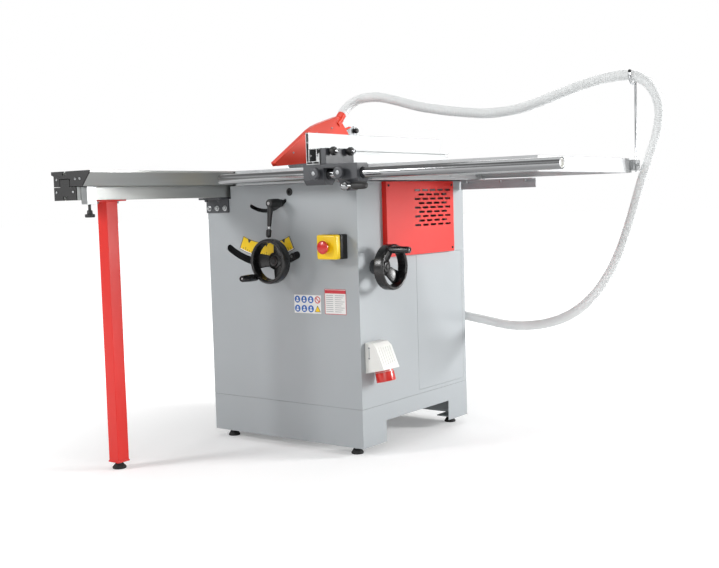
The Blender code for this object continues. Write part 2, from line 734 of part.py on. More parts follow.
# ---- rip fence ----------------------------------------------------------------
FENCE_BOTTOM = TABLE_TOP + FENCE_LIFT
FENCE_TOP = FENCE_BOTTOM + FENCE_HEIGHT
BRACKET_LEFT = FENCE_LEFT + FENCE_BOX + GAP
BRACKET_RIGHT = BRACKET_LEFT + 0.020
BRACKET_REAR = 0.003
CLAMP_Z = FENCE_BOTTOM + 0.036
CLAMP_YS = {"fence_clamp_knob_front": -0.108, "fence_clamp_knob_rear": -0.030}
KNOB_XS = {"fence_adjust_knob": 0.317, "fence_drag_knob": 0.402}
KNOB_Y = RAIL_Y - 0.040
LEVER_X = 0.418
LEVER_Z = RAIL_Z - 0.0355
LEVER_SHAFT = 0.0070


def make_fence_casting():
    """Gripping body on the round rail: two lugs under one bridge."""
    top = FENCE_BOTTOM - GAP
    outline = [
        (CASTING_FRONT, RAIL_Z - 0.016), (RAIL_Y - 0.016, RAIL_Z - 0.030),
        (RAIL_Y + 0.014, RAIL_Z - 0.030), (RAIL_Y + 0.026, RAIL_Z - 0.018),
        (RAIL_Y + 0.026, top - 0.006), (RAIL_Y + 0.020, top), (CASTING_FRONT, top),
    ]
    casting = finish("fence_casting", prism("X", outline, CASTING_LEFT, CASTING_RIGHT), "dark_iron",
                     smooth=False)
    boss_end = RAIL_Y + 0.010
    boss = rod(0.0130, (LEVER_X, CASTING_FRONT, LEVER_Z), (0, 1, 0), boss_end - CASTING_FRONT, 20)
    weld(casting, finish("casting_boss", boss))
    waist = box(
        (CASTING_LEFT + 0.073, RAIL_Y - 0.060, RAIL_Z - 0.060),
        (CASTING_RIGHT - 0.068, RAIL_Y + 0.060, RAIL_Z + 0.0165),
    )
    cut(casting, finish("casting_waist", waist))
    bore = rod(RAIL_RADIUS + 0.0005, (CASTING_LEFT - CUT_OVER, RAIL_Y, RAIL_Z), (1, 0, 0),
               CASTING_RIGHT - CASTING_LEFT + 2 * CUT_OVER, 32)
    cut(casting, finish("casting_bore", bore))
    gate = box(
        (CASTING_LEFT - CUT_OVER, RAIL_Y, RAIL_Z - 0.0110),
        (CASTING_RIGHT + CUT_OVER, RAIL_Y + 0.060, RAIL_Z + 0.0110),
    )
    cut(casting, finish("casting_gate", gate))
    pivot = rod(LEVER_SHAFT + GAP, (LEVER_X, CASTING_FRONT - CUT_OVER, LEVER_Z), (0, 1, 0),
                0.060, 20)
    cut(casting, finish("casting_pivot", pivot))


def make_fence_knobs():
    """Two round knobs on stems that point at the operator."""
    stem_end = CASTING_FRONT - GAP
    length = stem_end - KNOB_Y + 0.012
    profile = [
        (0, 0), (0.0060, 0), (0.0060, 0.001), (0.0150, 0.001), (0.0165, 0.003), (0.0165, 0.011),
        (0.0150, 0.0125), (0.0060, 0.0125), (0.0060, length), (0, length),
    ]
    for name, x in KNOB_XS.items():
        centre = (x, stem_end - length, RAIL_Z + 0.002)
        finish(name, turned(profile, centre, (0, 1, 0), 24), "dark_iron", centre)


def make_fence_lever():
    """Cam lever that locks the casting on the rail."""
    front = CASTING_FRONT - 0.026
    shaft = finish("fence_lock_lever", turned([
        (0, 0), (0.0080, 0.002), (0.0120, 0.008), (0.0120, 0.017), (0.0080, 0.0235),
        (LEVER_SHAFT, 0.0235), (LEVER_SHAFT, 0.050), (0, 0.050),
    ], (LEVER_X, front, LEVER_Z), (0, 1, 0), 20), "chrome", (LEVER_X, front, LEVER_Z))
    y = front + 0.0125
    grip = turned([
        (0, 0), (0.0045, 0), (0.0045, 0.020), (0.0085, 0.022), (0.0105, 0.030), (0.0105, 0.064),
        (0.0080, 0.070), (0, 0.070),
    ], (LEVER_X + 0.006, y, LEVER_Z), (1, 0, 0), 20)
    weld(shaft, finish("fence_lever_grip", grip))


def make_fence_profile():
    """Tall and low faces of one aluminium extrusion, hollow along its length."""
    left = FENCE_LEFT
    right = FENCE_LEFT + FENCE_BOX
    plate = FENCE_LEFT + FENCE_PLATE
    box_top = FENCE_BOTTOM + FENCE_BOX_HEIGHT
    slot_low = CLAMP_Z - 0.0045
    slot_high = CLAMP_Z + 0.0045
    outline = [
        (left, FENCE_BOTTOM), (right, FENCE_BOTTOM), (right, slot_low), (right - 0.003, slot_low),
        (right - 0.003, slot_low - 0.003), (right - 0.009, slot_low - 0.003),
        (right - 0.009, slot_high + 0.003), (right - 0.003, slot_high + 0.003),
        (right - 0.003, slot_high), (right, slot_high), (right, box_top), (plate, box_top),
        (plate, FENCE_TOP), (left, FENCE_TOP),
    ]
    rear = FENCE_FRONT + FENCE_LENGTH
    profile = finish("fence_profile", prism("Y", outline, FENCE_FRONT, rear), "aluminium",
                     (left, FENCE_FRONT, FENCE_BOTTOM), smooth=False)
    wall = 0.0022
    rooms = bmesh.new()
    start = FENCE_FRONT - CUT_OVER
    end = rear + CUT_OVER
    floor = FENCE_BOTTOM + 0.009
    add_box(rooms, (left + wall, start, FENCE_BOTTOM + wall),
            (left + 0.022, end, floor - wall))
    add_box(rooms, (left + 0.025, start, FENCE_BOTTOM + wall),
            (right - wall, end, floor - wall))
    add_box(rooms, (plate + 0.001, start, floor), (right - 0.012, end, box_top - wall))
    middle = FENCE_TOP - 0.027
    add_box(rooms, (left + wall, start, floor), (plate - wall, end, middle - wall))
    add_box(rooms, (left + wall, start, middle), (plate - wall, end, FENCE_TOP - wall))
    cut(profile, finish("fence_rooms", rooms))


def make_fence_bracket():
    bracket = finish("fence_bracket", box(
        (BRACKET_LEFT, FENCE_FRONT + 0.004, FENCE_BOTTOM),
        (BRACKET_RIGHT, BRACKET_REAR, FENCE_BOTTOM + FENCE_BOX_HEIGHT),
    ), "grey_paint", smooth=False)
    for name, y in CLAMP_YS.items():
        hole = rod(0.0040, (BRACKET_LEFT - CUT_OVER, y, CLAMP_Z), (1, 0, 0), 0.05, 12)
        cut(bracket, finish(name + "_hole", hole))


def make_clamp_knobs():
    face = BRACKET_RIGHT + GAP
    for name, y in CLAMP_YS.items():
        profile = [
            (0, -0.0255), (0.0035, -0.0255), (0.0035, 0), (0.0070, 0), (0.0070, 0.006),
            (0.0125, 0.008), (0.0125, 0.019), (0.0100, 0.021), (0.0065, 0.021),
            (0.0065, 0.027), (0, 0.029),
        ]
        centre = (face, y, CLAMP_Z)
        finish(name, turned(profile, centre, (1, 0, 0), 16), "black_plastic", centre)


# ---- covers and electrics -----------------------------------------------------
VENT_ROWS = 9
VENT_COLUMNS = 5
VENT_PITCH_Z = 0.0135
VENT_PITCH_Y = 0.0435
VENT_SLOT = 0.0315
VENT_SLOT_HEIGHT = 0.0062
VENT_FIRST_Y = 0.277
VENT_FIRST_Z = 0.7770


def make_vent_cover():
    inside = CABINET_RIGHT + GAP
    face = CABINET_RIGHT + VENT_DEPTH
    wall = 0.0015
    cover = finish("vent_cover", box(
        (inside, VENT_FRONT, VENT_BOTTOM), (face, VENT_REAR, VENT_TOP),
    ), "red_paint", smooth=False)
    cut(cover, finish("vent_room", box(
        (inside - CUT_OVER, VENT_FRONT + wall, VENT_BOTTOM + wall),
        (face - wall, VENT_REAR - wall, VENT_TOP - wall),
    )))
    slots = bmesh.new()
    for row in range(VENT_ROWS):
        shift = VENT_PITCH_Y / 2 if row % 2 else 0.0
        columns = VENT_COLUMNS - row % 2
        z = VENT_FIRST_Z - row * VENT_PITCH_Z
        for column in range(columns):
            y = VENT_FIRST_Y + shift + column * VENT_PITCH_Y
            add_box(slots, (face - 2 * wall, y, z), (face + wall, y + VENT_SLOT, z + VENT_SLOT_HEIGHT))
    cut(cover, finish("vent_slots", slots))


STOP_X = 0.279
STOP_Z = 0.621
STOP_HALF = 0.036
STOP_BASE = 0.032
STOP_COVER = 0.058


def make_stop_switch():
    """Emergency stop: a black box, a yellow lid and a red push button."""
    finish("stop_box", box(
        (STOP_X - STOP_HALF, -STOP_BASE, STOP_Z - STOP_HALF),
        (STOP_X + STOP_HALF, -GAP, STOP_Z + STOP_HALF),
    ), "black_plastic", smooth=False)
    lid = finish("stop_lid", box(
        (STOP_X - STOP_HALF, -STOP_COVER, STOP_Z - STOP_HALF),
        (STOP_X + STOP_HALF, -STOP_BASE - GAP, STOP_Z + STOP_HALF),
    ), "yellow_plastic", smooth=False)
    stem = 0.0085
    hole = rod(stem + 0.0005, (STOP_X, -STOP_COVER - CUT_OVER, STOP_Z), (0, 1, 0), 0.04, 20)
    cut(lid, finish("stop_stem_hole", hole))
    profile = [
        (0, 0), (0.0150, 0.0010), (0.0195, 0.0050), (0.0195, 0.0085), (0.0150, 0.0110),
        (stem, 0.0130), (stem, 0.0300), (0, 0.0300),
    ]
    front = -STOP_COVER - 0.0210
    finish("stop_button", turned(profile, (STOP_X, front, STOP_Z), (0, 1, 0), 28), "red_plastic",
           (STOP_X, front, STOP_Z))


INLET_FRONT = 0.020
INLET_REAR = 0.100
INLET_BOTTOM = 0.246
INLET_TOP = 0.3365
INLET_REACH = 0.067
INLET_RISE = 0.0145        # how far the lower face climbs away from the wall


def make_power_inlet():
    """Surface inlet with its mouth turned down and outward."""
    wall = CABINET_RIGHT + GAP
    outline = [
        (wall, INLET_BOTTOM), (wall + INLET_REACH, INLET_BOTTOM + INLET_RISE),
        (wall + INLET_REACH - 0.006, INLET_BOTTOM + INLET_RISE + 0.012), (wall + 0.040, INLET_TOP - 0.012),
        (wall + 0.026, INLET_TOP), (wall, INLET_TOP),
    ]
    inlet = finish("power_inlet", prism("Y", outline, INLET_FRONT, INLET_REAR), "white_plastic",
                   smooth=False)
    lean = math.atan2(INLET_RISE, INLET_REACH)
    down = Vector((math.sin(lean), 0.0, -math.cos(lean)))
    along = Vector((math.cos(lean), 0.0, math.sin(lean)))
    mouth = Vector((wall, (INLET_FRONT + INLET_REAR) / 2, INLET_BOTTOM)) + along * 0.0395
    shroud = turned([
        (0, -0.004), (0.0270, -0.004), (0.0290, 0.034), (0.0250, 0.034), (0.0235, 0.004),
        (0, 0.004),
    ], mouth, down, 28)
    weld(inlet, finish("inlet_shroud", shroud))


def make_dust_port():
    """Flange and duct on the rear sheet, with a branch for the guard's hose."""
    plate = 0.004
    rear = CABINET_DEPTH + GAP
    reach = 0.110
    port = finish("dust_port", box(
        (PORT_X - 0.068, rear, PORT_Z - 0.068), (PORT_X + 0.068, rear + plate, PORT_Z + 0.068),
    ), "black_plastic", smooth=False)
    weld(port, finish("port_duct", rod(PORT_RADIUS, (PORT_X, rear, PORT_Z), (0, 1, 0), reach, 32)))
    branch_y = HOSE_ROUTE[-1][1]
    branch = rod(HOSE_RADIUS - 0.001, (PORT_X, branch_y, PORT_Z), (1, 0, 0), BRANCH_END - PORT_X, 24)
    weld(port, finish("port_branch", branch))
    inner = rod(PORT_RADIUS - 0.003, (PORT_X, rear - CUT_OVER, PORT_Z), (0, 1, 0),
                reach + 2 * CUT_OVER, 32)
    cut(port, finish("port_duct_bore", inner))
    small = rod(HOSE_RADIUS - 0.0035, (PORT_X, branch_y, PORT_Z), (1, 0, 0),
                BRANCH_END - PORT_X + CUT_OVER, 24)
    cut(port, finish("port_branch_bore", small))


def make_tilt_scale():
    outline = sector(0.224, 0.268, math.radians(-25), math.radians(24), 14)
    finish("tilt_scale", prism("Y", outline, -0.0013, -GAP), "yellow_plastic", smooth=False)


# ---- tilting mechanism --------------------------------------------------------
SEAT_FRONT = 0.014
PLATE_FRONT = 0.028
PLATE_THICK = 0.012
REAR_PLATE = 0.440
RACK_RADIUS = 0.3305
FRAME_TOP = TABLE_BOTTOM - 0.004
BEAM_LOW = TABLE_TOP - 0.330
BEAM_HIGH = TABLE_TOP - 0.295
COLUMN_LEFT = 0.050
COLUMN_RIGHT = 0.095
COLUMN_FRONT = 0.150
COLUMN_BACK = 0.285
COLUMN_THICK = 0.015


def seat_outline():
    """Half ring under the table, clipped flat at the table's underside."""
    top = TABLE_BOTTOM - GAP
    drop = TABLE_TOP - top
    outer = 0.105
    inner = 0.062
    wide = math.acos(drop / outer)
    narrow = math.acos(drop / inner)
    turns = [wide - 2 * wide * i / 14 for i in range(15)]
    back = [-narrow + 2 * narrow * i / 10 for i in range(11)]
    return [swing(outer, t) for t in turns] + [swing(inner, t) for t in back]


def make_trunnion_seats():
    finish("trunnion_seat_front", prism("Y", seat_outline(), SEAT_FRONT, SEAT_FRONT + PLATE_THICK),
           "dark_iron", smooth=False)
    rear = REAR_PLATE + PLATE_THICK + 0.0005
    finish("trunnion_seat_rear", prism("Y", seat_outline(), rear, rear + PLATE_THICK), "dark_iron",
           smooth=False)


def plate_outline(bottom):
    """Swinging plate; its two top edges clear the table at both ends of the tilt."""
    apex = FRAME_TOP
    drop = TABLE_TOP - FRAME_TOP
    corner = drop * (math.sqrt(2) - 1)
    return [
        (corner, apex), (0.130, apex), (0.130, TABLE_TOP - 0.180), (0.105, bottom),
        (0.045, bottom), (-0.040, TABLE_TOP - 0.200), (-0.034, TABLE_TOP - 0.170),
        (-0.055, TABLE_TOP - drop * math.sqrt(2) - 0.055),
    ]


def make_tilt_frame():
    """Front and rear plates, the rack, the lower beam and the two slide columns."""
    frame = finish("tilt_frame", prism("Y", plate_outline(BEAM_LOW), PLATE_FRONT, PLATE_FRONT + PLATE_THICK),
                   "dark_iron", smooth=False)
    web = sector(0.250, RACK_RADIUS, math.radians(10), math.radians(79), 16)
    weld(frame, finish("frame_web", prism("Y", web, PLATE_FRONT, PLATE_FRONT + PLATE_THICK)))
    arm = [
        (0.120, TABLE_TOP - 0.115), (0.262, TABLE_TOP - 0.098), (0.262, TABLE_TOP - 0.068),
        (0.120, TABLE_TOP - 0.062),
    ]
    weld(frame, finish("frame_arm", prism("Y", arm, PLATE_FRONT + 0.001, PLATE_FRONT + 0.011)))
    rack = sector(RACK_RADIUS - 0.013, RACK_RADIUS, math.radians(24), math.radians(79), 16)
    weld(frame, finish("frame_rack", prism("Y", rack, PLATE_FRONT, TILT_SHAFT_Y + 0.014)))
    rear_shape = prism("Y", plate_outline(BEAM_LOW), REAR_PLATE, REAR_PLATE + PLATE_THICK)
    rear = finish("frame_rear_plate", rear_shape)
    weld(frame, rear)
    beam = box((COLUMN_LEFT, PLATE_FRONT + 0.002, BEAM_LOW), (COLUMN_RIGHT, REAR_PLATE + 0.002, BEAM_HIGH))
    weld(frame, finish("frame_beam", beam))
    columns = bmesh.new()
    for y in (COLUMN_FRONT, COLUMN_BACK):
        add_box(columns, (COLUMN_LEFT, y, BEAM_LOW + 0.005),
                (COLUMN_RIGHT, y + COLUMN_THICK, TABLE_BOTTOM - 0.007))
    weld(frame, finish("frame_columns", columns))
    clamp_low = (BLADE_THICK / 2 + 0.0006, 0.385, TABLE_TOP - 0.220)
    clamp_high = (0.050, REAR_PLATE + 0.002, TABLE_TOP - 0.130)
    clamp = box(clamp_low, clamp_high)
    weld(frame, finish("frame_knife_clamp", clamp))
    shaft_y = PLATE_FRONT - CUT_OVER
    bore = rod(0.0105, (HEIGHT_SHAFT_X, shaft_y, TABLE_TOP - HEIGHT_SHAFT_DROP), (0, 1, 0),
               COLUMN_FRONT + COLUMN_THICK + CUT_OVER - shaft_y, 20)
    cut(frame, finish("frame_shaft_bore", bore))
    x, z = swing(SLOT_HIGH_RADIUS, LOCK_ANGLE)
    stud = rod(0.0045, (x, PLATE_FRONT - CUT_OVER, z), (0, 1, 0), 0.030, 12)
    cut(frame, finish("frame_lock_hole", stud))
    screw = rod(0.0066, (HEIGHT_SHAFT_X, SCREW_Y, BEAM_HIGH - 0.010), (0, 0, 1), 0.03, 16)
    cut(frame, finish("frame_screw_hole", screw))


SCREW_Y = 0.180
BLOCK_TOP = ARBOR_Z + 0.014
BLOCK_BOTTOM = ARBOR_Z - 0.080
BLOCK_FRONT = COLUMN_FRONT + COLUMN_THICK + GAP
BLOCK_BACK = COLUMN_BACK - GAP
BLOCK_LEFT = 0.052
BLOCK_RIGHT = 0.0935
MOTOR_Z = ARBOR_Z - MOTOR_DROP


def make_lift_carriage():
    """Arbor housing, slide block and motor plate in one casting."""
    carriage = finish("lift_carriage", box(
        (BLOCK_LEFT, BLOCK_FRONT, BLOCK_BOTTOM), (BLOCK_RIGHT, BLOCK_BACK, BLOCK_TOP),
    ), "dark_iron", smooth=False)
    housing = rod(HOUSING_RADIUS, (HOUSING_LEFT, BLADE_Y, ARBOR_Z), (1, 0, 0),
                  HOUSING_RIGHT - HOUSING_LEFT, 28)
    weld(carriage, finish("lift_housing", housing))
    arm = box((BLOCK_RIGHT - 0.010, BLOCK_FRONT + 0.003, BLOCK_BOTTOM),
              (MOTOR_LEFT - GAP - 0.001, 0.200, BLOCK_BOTTOM + 0.026))
    weld(carriage, finish("lift_arm", arm))
    plate = box((MOTOR_LEFT - GAP - 0.0085, BLOCK_FRONT + 0.003, MOTOR_Z - 0.075),
                (MOTOR_LEFT - GAP, MOTOR_Y + 0.070, MOTOR_Z + 0.065))
    weld(carriage, finish("lift_motor_plate", plate))
    bore = rod(SHAFT_RADIUS + 0.0004, (HOUSING_LEFT - CUT_OVER, BLADE_Y, ARBOR_Z), (1, 0, 0),
               HOUSING_RIGHT - HOUSING_LEFT + 2 * CUT_OVER, 24)
    cut(carriage, finish("lift_bore", bore))
    way = rod(0.0068, (HEIGHT_SHAFT_X, SCREW_Y, BLOCK_BOTTOM - CUT_OVER), (0, 0, 1),
              BLOCK_TOP - BLOCK_BOTTOM + 2 * CUT_OVER, 16)
    cut(carriage, finish("lift_screw_way", way))
    hole = rod(0.022, (PULLEY_RIGHT - 0.003, MOTOR_Y, MOTOR_Z), (1, 0, 0), 0.03, 24)
    cut(carriage, finish("lift_motor_hole", hole))


def make_motor():
    body = finish("motor", turned([
        (0, 0), (MOTOR_RADIUS * 0.9, 0), (MOTOR_RADIUS, 0.008), (MOTOR_RADIUS, MOTOR_LENGTH - 0.04),
        (MOTOR_RADIUS * 0.94, MOTOR_LENGTH - 0.04), (MOTOR_RADIUS * 0.94, MOTOR_LENGTH - 0.008),
        (MOTOR_RADIUS * 0.84, MOTOR_LENGTH), (0, MOTOR_LENGTH),
    ], (MOTOR_LEFT, MOTOR_Y, MOTOR_Z), (1, 0, 0), 32), "grey_paint")
    hole = rod(MOTOR_SHAFT_RADIUS + 0.0005, (MOTOR_LEFT - CUT_OVER, MOTOR_Y, MOTOR_Z), (1, 0, 0),
               0.030 + CUT_OVER, 20)
    cut(body, finish("motor_shaft_hole", hole))


def make_motor_pulley():
    width = PULLEY_RIGHT - PULLEY_LEFT
    motor = (PULLEY_LEFT, MOTOR_Y, MOTOR_Z)
    radius = MOTOR_PULLEY_RADIUS
    profile = [
        (0, 0), (radius + 0.003, 0), (radius + 0.003, 0.002), (radius, 0.003), (radius, width - 0.003),
        (radius + 0.003, width - 0.002), (radius + 0.003, width), (MOTOR_SHAFT_RADIUS, width),
        (MOTOR_SHAFT_RADIUS, width + 0.036), (0, width + 0.036),
    ]
    finish("motor_pulley", turned(profile, motor, (1, 0, 0), 28), "steel", motor)


def belt_outline(grow):
    """Straight runs and arcs round both pulleys, at a distance outside them."""
    top = Vector((BLADE_Y, ARBOR_Z))
    low = Vector((MOTOR_Y, MOTOR_Z))
    upper = ARBOR_PULLEY_RADIUS + grow
    lower = MOTOR_PULLEY_RADIUS + grow
    line = low - top
    heading = math.atan2(line.y, line.x)
    spread = math.acos((upper - lower) / line.length)
    points = arc(top, upper, heading + spread, heading + math.tau - spread, 14)
    points += arc(low, lower, heading - spread, heading + spread, 14)
    return points


def make_belt():
    left = PULLEY_LEFT + 0.0035
    right = PULLEY_RIGHT - 0.0035
    belt = finish("drive_belt", prism("X", belt_outline(0.0004 + BELT_THICK), left, right), "rubber")
    cut(belt, finish("belt_inside", prism("X", belt_outline(0.0004), left - CUT_OVER, right + CUT_OVER)))


def blade_outline():
    points = []
    pitch = math.tau / BLADE_TEETH
    for tooth in range(BLADE_TEETH):
        turn = tooth * pitch
        for radius, share in ((0.932, 0.0), (0.932, 0.42), (0.985, 0.60), (1.0, 0.92)):
            angle = turn + share * pitch
            points.append((
                BLADE_Y + BLADE_RADIUS * radius * math.cos(angle),
                ARBOR_Z + BLADE_RADIUS * radius * math.sin(angle),
            ))
    return points


def make_blade():
    half = BLADE_THICK / 2
    axis = (0, BLADE_Y, ARBOR_Z)
    blade = finish("saw_blade", prism("X", blade_outline(), -half, half), "steel", axis, smooth=False)
    bore = rod(BORE_RADIUS, (-CUT_OVER, BLADE_Y, ARBOR_Z), (1, 0, 0), 2 * CUT_OVER, 28)
    cut(blade, finish("blade_bore", bore, origin=axis))


def make_arbor():
    half = BLADE_THICK / 2 + GAP
    nut_left = -half - GAP - FLANGE_THICK - NUT_THICK
    axis = (0, BLADE_Y, ARBOR_Z)
    nose = 0.0085
    rim = ARBOR_PULLEY_RADIUS
    profile = [
        (0, nut_left), (nose, nut_left), (nose, -half - 0.002), (BORE_RADIUS - GAP, -half - 0.002),
        (BORE_RADIUS - GAP, half), (INNER_FLANGE_RADIUS, half), (INNER_FLANGE_RADIUS, half + FLANGE_THICK),
        (SHAFT_RADIUS, half + FLANGE_THICK), (SHAFT_RADIUS, PULLEY_LEFT), (rim + 0.003, PULLEY_LEFT),
        (rim + 0.003, PULLEY_LEFT + 0.002), (rim, PULLEY_LEFT + 0.003), (rim, PULLEY_RIGHT - 0.003),
        (rim + 0.003, PULLEY_RIGHT - 0.002), (rim + 0.003, PULLEY_RIGHT), (0, PULLEY_RIGHT),
    ]
    finish("arbor_shaft", turned(profile, axis, (1, 0, 0), 24), "steel", axis)
    flange = [
        (nose + GAP, 0), (FLANGE_RADIUS - 0.002, 0), (FLANGE_RADIUS, 0.002), (FLANGE_RADIUS, FLANGE_THICK),
        (BORE_RADIUS + 0.001, FLANGE_THICK), (BORE_RADIUS + 0.001, FLANGE_THICK - 0.003),
        (nose + GAP, FLANGE_THICK - 0.003), (nose + GAP, 0),
    ]
    start = (-half - FLANGE_THICK, BLADE_Y, ARBOR_Z)
    finish("blade_flange", turned(flange, start, (1, 0, 0), 28), "steel", axis)
    nut_start = (-half - FLANGE_THICK - GAP - NUT_THICK, BLADE_Y, ARBOR_Z)
    nut = finish("arbor_nut", rod(NUT_RADIUS, nut_start, (1, 0, 0), NUT_THICK, 6), "steel", axis,
                 smooth=False)
    hole_start = (nut_start[0] - CUT_OVER, BLADE_Y, ARBOR_Z)
    hole = rod(nose + GAP, hole_start, (1, 0, 0), NUT_THICK + 2 * CUT_OVER, 24)
    cut(nut, finish("nut_hole", hole, origin=axis))


# ---- riving knife and guard ---------------------------------------------------
KNIFE_HALF = 0.0012
KNIFE_GAP = 0.0085


def make_riving_knife():
    reach = BLADE_RADIUS + KNIFE_GAP
    front = arc((BLADE_Y, ARBOR_Z), reach, math.radians(0), math.radians(56), 12)
    outline = [(BLADE_Y + reach, TABLE_TOP - 0.225)] + front + [
        (0.325, TABLE_TOP + 0.092), (0.400, TABLE_TOP + 0.128), (0.462, TABLE_TOP + 0.152),
        (0.478, TABLE_TOP + 0.150), (0.484, TABLE_TOP + 0.136), (0.478, TABLE_TOP + 0.108),
        (0.434, TABLE_TOP + 0.010), (0.424, TABLE_TOP + 0.004), (0.406, TABLE_TOP + 0.002),
        (0.403, TABLE_TOP - 0.010), (0.403, TABLE_TOP - 0.225),
    ]
    knife = finish("riving_knife", prism("X", outline, -KNIFE_HALF, KNIFE_HALF), "steel", smooth=False)
    hole = rod(0.0033, (-CUT_OVER, KNOB_Y_ON_KNIFE, KNOB_Z_ON_KNIFE), (1, 0, 0), 2 * CUT_OVER, 12)
    cut(knife, finish("knife_stud_hole", hole))


KNOB_Y_ON_KNIFE = 0.466
KNOB_Z_ON_KNIFE = TABLE_TOP + 0.136
GUARD_HALF = 0.0100
GUARD_WALL = 0.0018
SPIGOT_START = Vector((0.0, 0.372, TABLE_TOP + 0.159))
SPIGOT_WAY = Vector((0.0, 0.7071, 0.7071))
SPIGOT_ROOT = 0.010        # how far the spigot starts inside the guard
SPIGOT_REACH = 0.040
SPIGOT_RADIUS = 0.0150


def guard_outline(inset):
    """Side view of the guard; inset moves the roof and ends inward, not the mouth."""
    low = -0.03 if inset else 0.0
    return [
        (0.052 + inset, TABLE_TOP + 0.0118 + low), (0.043 + inset * 1.3, TABLE_TOP + 0.023 + low * 0.2),
        (0.213, TABLE_TOP + 0.129 - inset * 1.2), (0.240, TABLE_TOP + 0.143 - inset * 1.15),
        (0.275, TABLE_TOP + 0.155 - inset * 1.1), (0.311, TABLE_TOP + 0.165 - inset),
        (0.366, TABLE_TOP + 0.180 - inset), (0.372 - inset * 0.4, TABLE_TOP + 0.178 - inset),
        (0.423 - inset, TABLE_TOP + 0.122 - inset * 0.5), (0.421 - inset, TABLE_TOP + 0.095),
        (0.405 - inset, TABLE_TOP + 0.038 + low),
    ]


def make_blade_guard():
    guard = finish("blade_guard", prism("X", guard_outline(0.0), -GUARD_HALF, GUARD_HALF),
                   "guard_plastic", smooth=False)
    weld(guard, finish("guard_spigot", rod(
        SPIGOT_RADIUS, SPIGOT_START - SPIGOT_WAY * SPIGOT_ROOT, SPIGOT_WAY,
        SPIGOT_ROOT + SPIGOT_REACH, 24)))
    lug = [
        (0.405, TABLE_TOP + 0.100), (0.405, TABLE_TOP + 0.140), (0.440, TABLE_TOP + 0.150),
        (0.466, TABLE_TOP + 0.148), (0.476, TABLE_TOP + 0.140), (0.474, TABLE_TOP + 0.124),
        (0.440, TABLE_TOP + 0.100),
    ]
    lug_right = -KNIFE_HALF - GAP
    weld(guard, finish("guard_lug", prism("X", lug, lug_right - 0.003, lug_right)))
    room = guard_outline(0.0025)
    inner = GUARD_HALF - GUARD_WALL
    cut(guard, finish("guard_room", prism("X", room, -inner, inner)))
    bore = rod(SPIGOT_RADIUS - 0.0022, SPIGOT_START - SPIGOT_WAY * 0.004, SPIGOT_WAY, 0.08, 24)
    cut(guard, finish("guard_bore", bore))
    slit_low = (-KNIFE_HALF - GAP, 0.380, TABLE_TOP - 0.01)
    slit_high = (KNIFE_HALF + GAP + 0.0003, 0.500, TABLE_TOP + 0.1535)
    slit = box(slit_low, slit_high)
    cut(guard, finish("guard_slit", slit))
    stud = rod(0.0033, (-CUT_OVER, KNOB_Y_ON_KNIFE, KNOB_Z_ON_KNIFE), (1, 0, 0), 2 * CUT_OVER, 12)
    cut(guard, finish("guard_stud_hole", stud))


def make_guard_knob():
    centre = (KNIFE_HALF + GAP, KNOB_Y_ON_KNIFE, KNOB_Z_ON_KNIFE)
    profile = [
        (0, -0.0055), (0.0030, -0.0055), (0.0030, 0), (0.0055, 0), (0.0055, 0.003), (0.0085, 0.004),
        (0.0085, 0.012), (0.0070, 0.014), (0, 0.014),
    ]
    finish("guard_knob", turned(profile, centre, (1, 0, 0), 16), "black_plastic", centre)


# ---- handwheels and levers ----------------------------------------------------


def wheel_profile():
    """Dished wheel, from the hub's bore side out to the rim and back."""
    r = HANDWHEEL_RADIUS
    back = RIM_FRONT - RIM_DEPTH
    return [
        (0, 0.000), (0.0150, 0.000), (0.0150, 0.006), (r - RIM_THICK, back + 0.004),
        (r - 0.004, back), (r, back + 0.005), (r, RIM_FRONT - 0.005), (r - 0.004, RIM_FRONT),
        (r - 0.009, RIM_FRONT), (r - RIM_THICK, RIM_FRONT - 0.005), (r - RIM_THICK, back + 0.013),
        (0.0160, 0.015), (0.0140, 0.020), (0, 0.020),
    ]


def make_wheel(name, centre, way, up):
    """A handwheel facing along way; up sets where its spokes stand."""
    wheel = finish(name, turned(wheel_profile(), centre, way, 30), "black_plastic", centre)
    line = Vector(way)
    first = Vector(up)
    second = line.cross(first)
    inner = 0.021
    outer = HANDWHEEL_RADIUS - 0.0185
    half = math.radians(34)
    windows = bmesh.new()
    for i in range(3):
        middle = math.pi / 2 + i * math.tau / 3 + math.pi / 3
        ring = []
        for radius, a, b in ((outer, -half, half), (inner, half * 0.8, -half * 0.8)):
            for j in range(6):
                t = middle + a + (b - a) * j / 5
                ring.append((radius * math.cos(t), radius * math.sin(t)))
        corners = [windows.verts.new(Vector(centre) + second * u + first * v) for u, v in ring]
        face = windows.faces.new(corners)
        pulled = bmesh.ops.extrude_face_region(windows, geom=[face])
        moved = [item for item in pulled["geom"] if isinstance(item, bmesh.types.BMVert)]
        bmesh.ops.translate(windows, verts=moved, vec=line * 0.06)
    bmesh.ops.translate(windows, verts=windows.verts, vec=line * -0.01)
    cut(wheel, finish(name + "_windows", windows, origin=centre))
    return wheel


def make_crank(name, centre, way, offset):
    """A free-turning grip on the wheel's rim."""
    spot = Vector(centre) + Vector(offset)
    line = Vector(way)
    base = spot + line * (RIM_FRONT + GAP)
    profile = [
        (0, 0), (0.0060, 0), (0.0060, 0.003), (0.0100, 0.005), (0.0108, 0.028), (0.0104, 0.050),
        (0.0094, 0.068), (0.0070, 0.072), (0, 0.072),
    ]
    finish(name, turned(profile, base, way, 18), "black_plastic", base)


